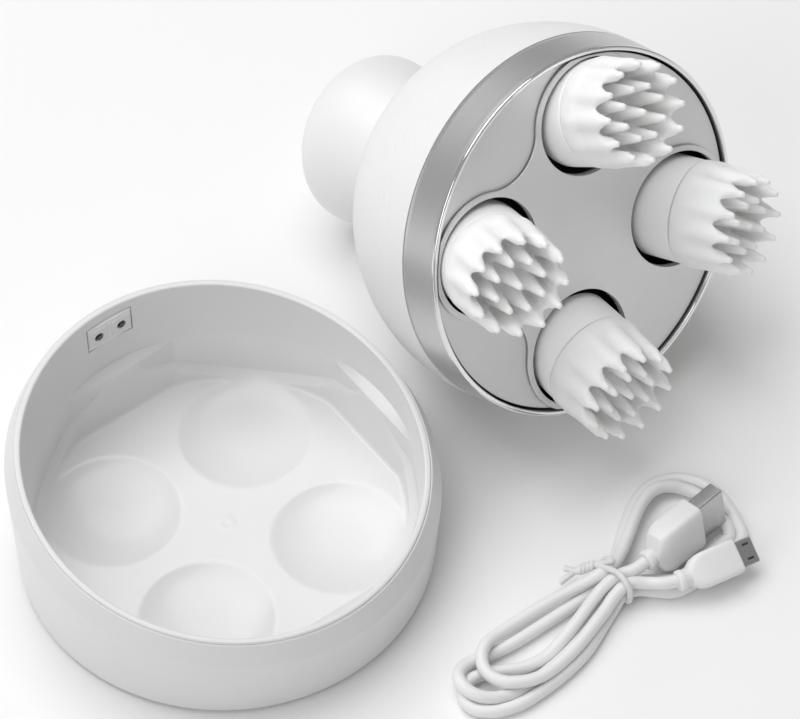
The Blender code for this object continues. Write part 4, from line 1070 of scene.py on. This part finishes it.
def add_block(bm, place, centre, size, material_index):
    """Adds a box to a mesh in the making, in a place's millimetres."""
    grown = Matrix.Translation(Vector(centre) * MM) @ Matrix.Diagonal((*size, 1.0))
    made = bmesh.ops.create_cube(bm, size=MM, matrix=place @ grown)
    for face in {face for vertex in made["verts"] for face in vertex.link_faces}:
        face.material_index = material_index


def twist_tie():
    """The wire round the waist, its twist and its two frayed ends."""
    half_y = 1.5 * CORD_D + TIE_R
    half_z = CORD_D + TIE_R
    middle_z = (WAIST_LOW + WAIST_HIGH) / 2
    loop = []
    for i in range(33):
        a = math.radians(70 - 340 * i / 32)
        c, s = math.cos(a), math.sin(a)
        y = WAIST_Y + half_y * math.copysign(abs(c) ** TIE_SQUARE, c)
        z = max(TIE_R, middle_z + half_z * math.copysign(abs(s) ** TIE_SQUARE, s))
        loop.append((1.1 * math.sin(a * 0.5), y, z))
    knot = (-2.6, WAIST_Y + half_y + 0.7, middle_z + 1.6)
    twist_end = (-6.4, WAIST_Y + half_y + 2.2, middle_z + 0.6)
    ends = []
    for side, tip in ((0, (-11.4, 10.6, 3.2)), (1, (-8.2, 12.4, 4.8))):
        route = [loop[0] if side else loop[-1], knot]
        for i in range(1, 13):
            share = i / 12
            a = 4 * math.pi * share + math.pi * side
            centre = [k + (e - k) * share for k, e in zip(knot, twist_end)]
            c, s = TWIST_R * math.cos(a), TWIST_R * math.sin(a)
            route.append((centre[0] + 0.4 * c, centre[1] + c, centre[2] + s))
        route.append(tip)
        ends.append(route)
    route = ends[1][::-1] + loop[1:-1] + ends[0]
    curve = bpy.data.curves.new("tie", "CURVE")
    curve.dimensions = "3D"
    curve.bevel_depth = TIE_R * MM
    curve.bevel_resolution = 3
    curve.use_fill_caps = True
    spline = curve.splines.new("NURBS")
    spline.points.add(len(route) - 1)
    for point, at in zip(spline.points, route):
        point.co = (*(CABLE @ (Vector(at) * MM)), 1)
    spline.use_endpoint_u = True
    spline.order_u = 3
    piece = new_object("tie", curve, [TIE_WHITE], "dock")
    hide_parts("twist_tie")
    return piece


def cable():
    """The lead with its plugs and its tie, as one cord."""
    points = settle(even_points(smooth_points(cord_route()), NODE_GAP))
    length = np.linalg.norm(np.diff(points, axis=0), axis=1).sum()
    print(f"lead: {length:.0f} mm, top {points[:, 2].max():.2f} mm")
    lead = cord_object([tuple(p) for p in np.vstack([points[:-1:3], points[-1:]])])
    # Latch holes as flat patches of painted shade: x, y, length and width on the shell.
    usb_a_holes = [(4.6, y, 2.2, 2.0) for y in (2.4, -2.4)]
    micro_holes = [(2.6, y, 1.7, 0.6) for y in (1.9, -1.9)]
    parts = [
        overmould("usb_a_grip", USB_A_PLACE, USB_A_BODY, USB_A_TAIL, "usb_a_body"),
        metal_shell("usb_a_metal", USB_A_PLACE, USB_A_BODY, USB_A_SHELL, usb_a_holes, (-1,), "usb_a_shell"),
        overmould("micro_usb_grip", MICRO_PLACE, MICRO_BODY, MICRO_TAIL, "micro_usb_body"),
        metal_shell(
            "micro_usb_metal", MICRO_PLACE, MICRO_BODY, MICRO_SHELL, micro_holes, (-1, 1), "micro_usb_shell",
        ),
        twist_tie(),
    ]


# ---------------------------------------------------------------- camera, floor and light


VIEW_ELEVATION = math.radians(52.5)
VIEW_TARGET = Vector((43.6, 41.6, 20.0)) * MM
VIEW_DISTANCE = 1.2
SENSOR = 36.0
SEEN_WIDTH = 0.2036  # metres across the picture at the target
LIGHT_AIM = (0.04, 0.04, 0)
AMBIENT = 0.33
FLOOR_REACH = 3.0


def camera():
    """A long lens that looks down at the set from the front."""
    data = bpy.data.cameras.new("camera")
    data.sensor_width = SENSOR
    data.lens = SENSOR * VIEW_DISTANCE / SEEN_WIDTH
    data.clip_start = 0.05
    made = bpy.data.objects.new("camera", data)
    bpy.context.scene.collection.objects.link(made)
    back = Vector((0, -math.cos(VIEW_ELEVATION), math.sin(VIEW_ELEVATION)))
    made.location = VIEW_TARGET + back * VIEW_DISTANCE
    made.rotation_euler = (math.pi / 2 - VIEW_ELEVATION, 0, 0)
    bpy.context.scene.camera = made


def area_light(name, at, size, watts):
    """A square lamp, its side in metres, that faces the middle of the set."""
    data = bpy.data.lights.new(name, "AREA")
    data.shape = "RECTANGLE"
    data.size = data.size_y = size
    data.energy = watts
    made = bpy.data.objects.new(name, data)
    made.location = at
    made.rotation_euler = (Vector(LIGHT_AIM) - Vector(at)).to_track_quat("-Z", "Y").to_euler()
    bpy.context.scene.collection.objects.link(made)


def studio():
    """The pale floor, the even surrounding light and the two lamps."""
    mesh = bpy.data.meshes.new("floor")
    corners = [(x * FLOOR_REACH, y * FLOOR_REACH, 0) for x, y in ((-1, -1), (1, -1), (1, 1), (-1, 1))]
    mesh.from_pydata(corners, [], [(0, 1, 2, 3)])
    mesh.materials.append(FLOOR_WHITE)
    floor = bpy.data.objects.new("floor", mesh)
    floor.location.z = -0.0002
    bpy.context.scene.collection.objects.link(floor)
    world = bpy.data.worlds.new("studio")
    world.use_nodes = True
    world.node_tree.nodes["Background"].inputs["Color"].default_value = (1, 1, 1, 1)
    world.node_tree.nodes["Background"].inputs["Strength"].default_value = AMBIENT
    bpy.context.scene.world = world
    area_light("overhead", (-0.3, 0.35, 1.25), 1.2, 12.8)
    area_light("front", (-0.7, -1.0, 0.9), 1.0, 5.5)
    bpy.context.scene.view_settings.view_transform = "Standard"


dress_cad()
dome_skin()
knob_skin()
knob_end()
bezel_skin()
face_skins()
heads()
bowl_skin()
shell_skin()
contact_pads()
cable()
studio()
camera()
